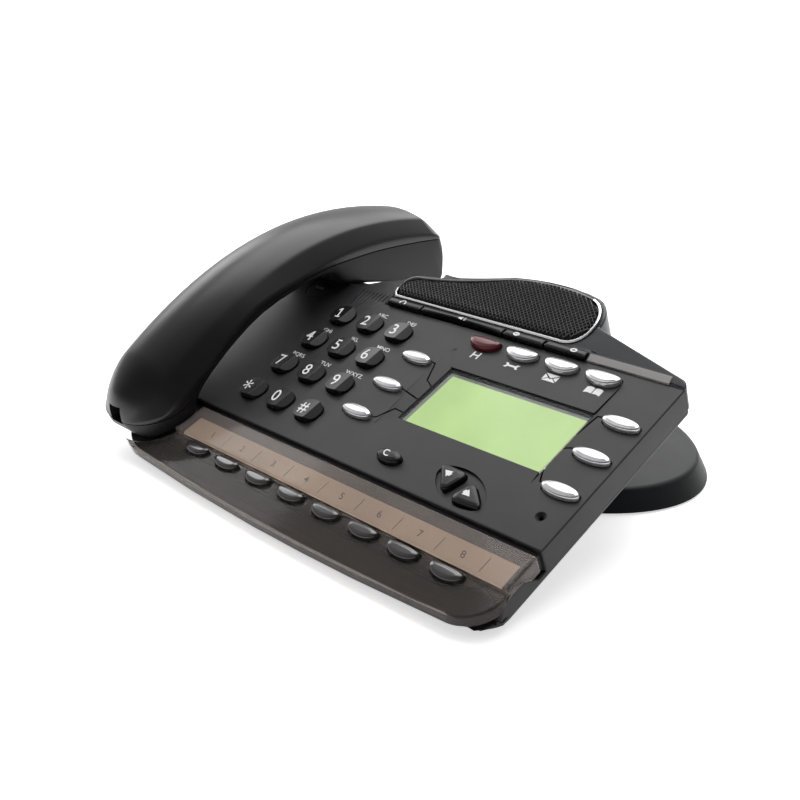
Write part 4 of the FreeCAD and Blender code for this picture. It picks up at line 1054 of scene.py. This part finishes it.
def lofted(name, stations, section):
    """Closed hull through mirrored half sections; its ends and its parting face are closed flat."""
    rings = []
    for y in stations:
        half = section(y)
        ring = [(x, y, z) for x, z in half] + [(-x, y, z) for x, z in reversed(half[:-1])]
        rings.append(ring)
    count = len(rings[0])
    vertices = [(HANDSET_X + x, y, z) for ring in rings for x, y, z in ring]
    faces = []
    for k in range(len(rings) - 1):
        for j in range(count):
            a = k * count + j
            b = k * count + (j + 1) % count
            faces.append((a, b, b + count, a + count))
    faces.append(tuple(range(count - 1, -1, -1)))
    faces.append(tuple((len(rings) - 1) * count + j for j in range(count)))
    mesh = bpy.data.meshes.new(name)
    mesh.from_pydata(vertices, [], faces)
    piece = bpy.data.objects.new(name, mesh)
    bpy.context.scene.collection.objects.link(piece)
    face_outwards(piece)
    return piece


def jack_cutter():
    left = HANDSET_X - JACK_HALF_WIDTH
    right = HANDSET_X + JACK_HALF_WIDTH
    return plate("jack_cutter", rectangle(left, right, -90, -76.2), 4.6, 12.6)


def handset():
    nose = [-84.5, -84.42, -84.2, -83.8, -83.2, -82.4, -81.4, -80.2, -78.8, -77.2, -75.4, -73.2, -70.5,
            -67.5, -64.5]
    grip = [-62.5, -61.2, -60.4, -59.6, -58.6, -57.4, -56, -54.4, -52, -49, -45, -40, -34, -27, -19, -10,
            0, 10, 18, 24, 28, 31, 33.4, 35, 36.2, 37.2, 38.4, 40.2]
    ear = [45, 52, 60, 68, 76, 84, 90, 93.4, 95, 96, 97, 98, 99, 99.6, 100.2, 101, 102, 103, 104, 104.7,
           105.3, 105.7, 105.9, 106]
    stations = nose + grip + ear
    back = lofted("handset_back", stations, outer_section)
    front = lofted("handset_front", stations, inner_section)
    for piece in (back, front):
        cut_with(piece, jack_cutter())
        smooth(piece, 32)
        settle(piece)
    fit(back, "handset", HANDSET, ("handset_outer_shell",))
    fit(front, "handset", HANDSET_FRONT, ("handset_inner_shell",))
    contacts = []
    for k in range(4):
        x = HANDSET_X + (k - 1.5) * 1.02
        contacts.append(plate("contact", rectangle(x - 0.2, x + 0.2, -76.0, -69.5), 5.6, 5.9))
    springs = joined("jack_contacts", contacts)
    settle(springs)
    fit(springs, "handset", CONTACT)


# ---- set ----

def floor_and_lights():
    bpy.ops.mesh.primitive_plane_add(size=60, location=(-10, 20.0, cad_low.z))
    ground = named("floor")
    material, nodes, links, shader, place = finish("floor_white")
    cloud = grain(nodes, links, place, 0.6)
    tone = ramp(nodes, links, cloud.outputs["Fac"], (0.90, 0.90, 0.90), (0.92, 0.92, 0.92))
    links.new(tone, shader.inputs["Base Color"])
    links.new(tone, shader.inputs["Emission Color"])
    shader.inputs["Emission Strength"].default_value = 0.68
    shader.inputs["Roughness"].default_value = 0.9
    shader.inputs["Specular IOR Level"].default_value = 0.1
    ground.data.materials.append(material)
    lamps = (("overhead", (-0.2, 0.45, 1.2), (0, 0, 0), 1.2, 14),
             ("left", (-1.2, 0.2, 0.8), (0, 0, 0.03), 0.7, 5),
             ("behind", (-0.5, 1.5, 0.7), (0, 0, 0.04), 1.0, 5))
    for name, place, target, size, power in lamps:
        light = bpy.data.lights.new(name, "AREA")
        light.size = size
        light.energy = power
        lamp = bpy.data.objects.new(name, light)
        lamp.location = place
        lamp.rotation_euler = (Vector(target) - Vector(place)).to_track_quat("-Z", "Y").to_euler()
        bpy.context.scene.collection.objects.link(lamp)
    world = bpy.data.worlds.new("studio")
    world.use_nodes = True
    nodes = world.node_tree.nodes
    links = world.node_tree.links
    direction = nodes.new("ShaderNodeTexCoord")
    facing = nodes.new("ShaderNodeVectorMath")
    facing.operation = "DOT_PRODUCT"
    brightest = (-0.55, 0.66, 0.51)
    facing.inputs[1].default_value = brightest
    links.new(direction.outputs["Generated"], facing.inputs[0])
    span = nodes.new("ShaderNodeMapRange")
    span.inputs["From Min"].default_value = -0.15
    span.inputs["From Max"].default_value = 0.85
    span.inputs["To Min"].default_value = 0.03
    span.inputs["To Max"].default_value = 0.84
    links.new(facing.outputs["Value"], span.inputs["Value"])
    links.new(span.outputs["Result"], nodes["Background"].inputs["Strength"])
    nodes["Background"].inputs["Color"].default_value = (1, 1, 1, 1)
    bpy.context.scene.world = world
    bpy.context.scene.view_settings.view_transform = "Standard"


def camera():
    data = bpy.data.cameras.new("view")
    data.lens = 46.97
    data.sensor_width = 36
    data.clip_start = 0.01
    data.clip_end = 50
    eye = bpy.data.objects.new("view", data)
    key_5_face = PANEL @ Vector((PAD_LEFT + PAD_COLUMN, 0, 0))
    from_key_5 = Vector((0.32329, -0.29044, 0.15034))
    looking = Vector((-0.65284, 0.65976, -0.37218))
    eye.location = key_5_face + from_key_5
    eye.rotation_euler = looking.to_track_quat("-Z", "Y").to_euler()
    bpy.context.scene.collection.objects.link(eye)
    bpy.context.scene.camera = eye


finish_cad_nodes()
camera()
floor_and_lights()
housing()
pod()
front_cover()
display()
number_pad()
silver_keys()
black_keys()
pod_keys()
line_keys()
panel_symbols()
handset()
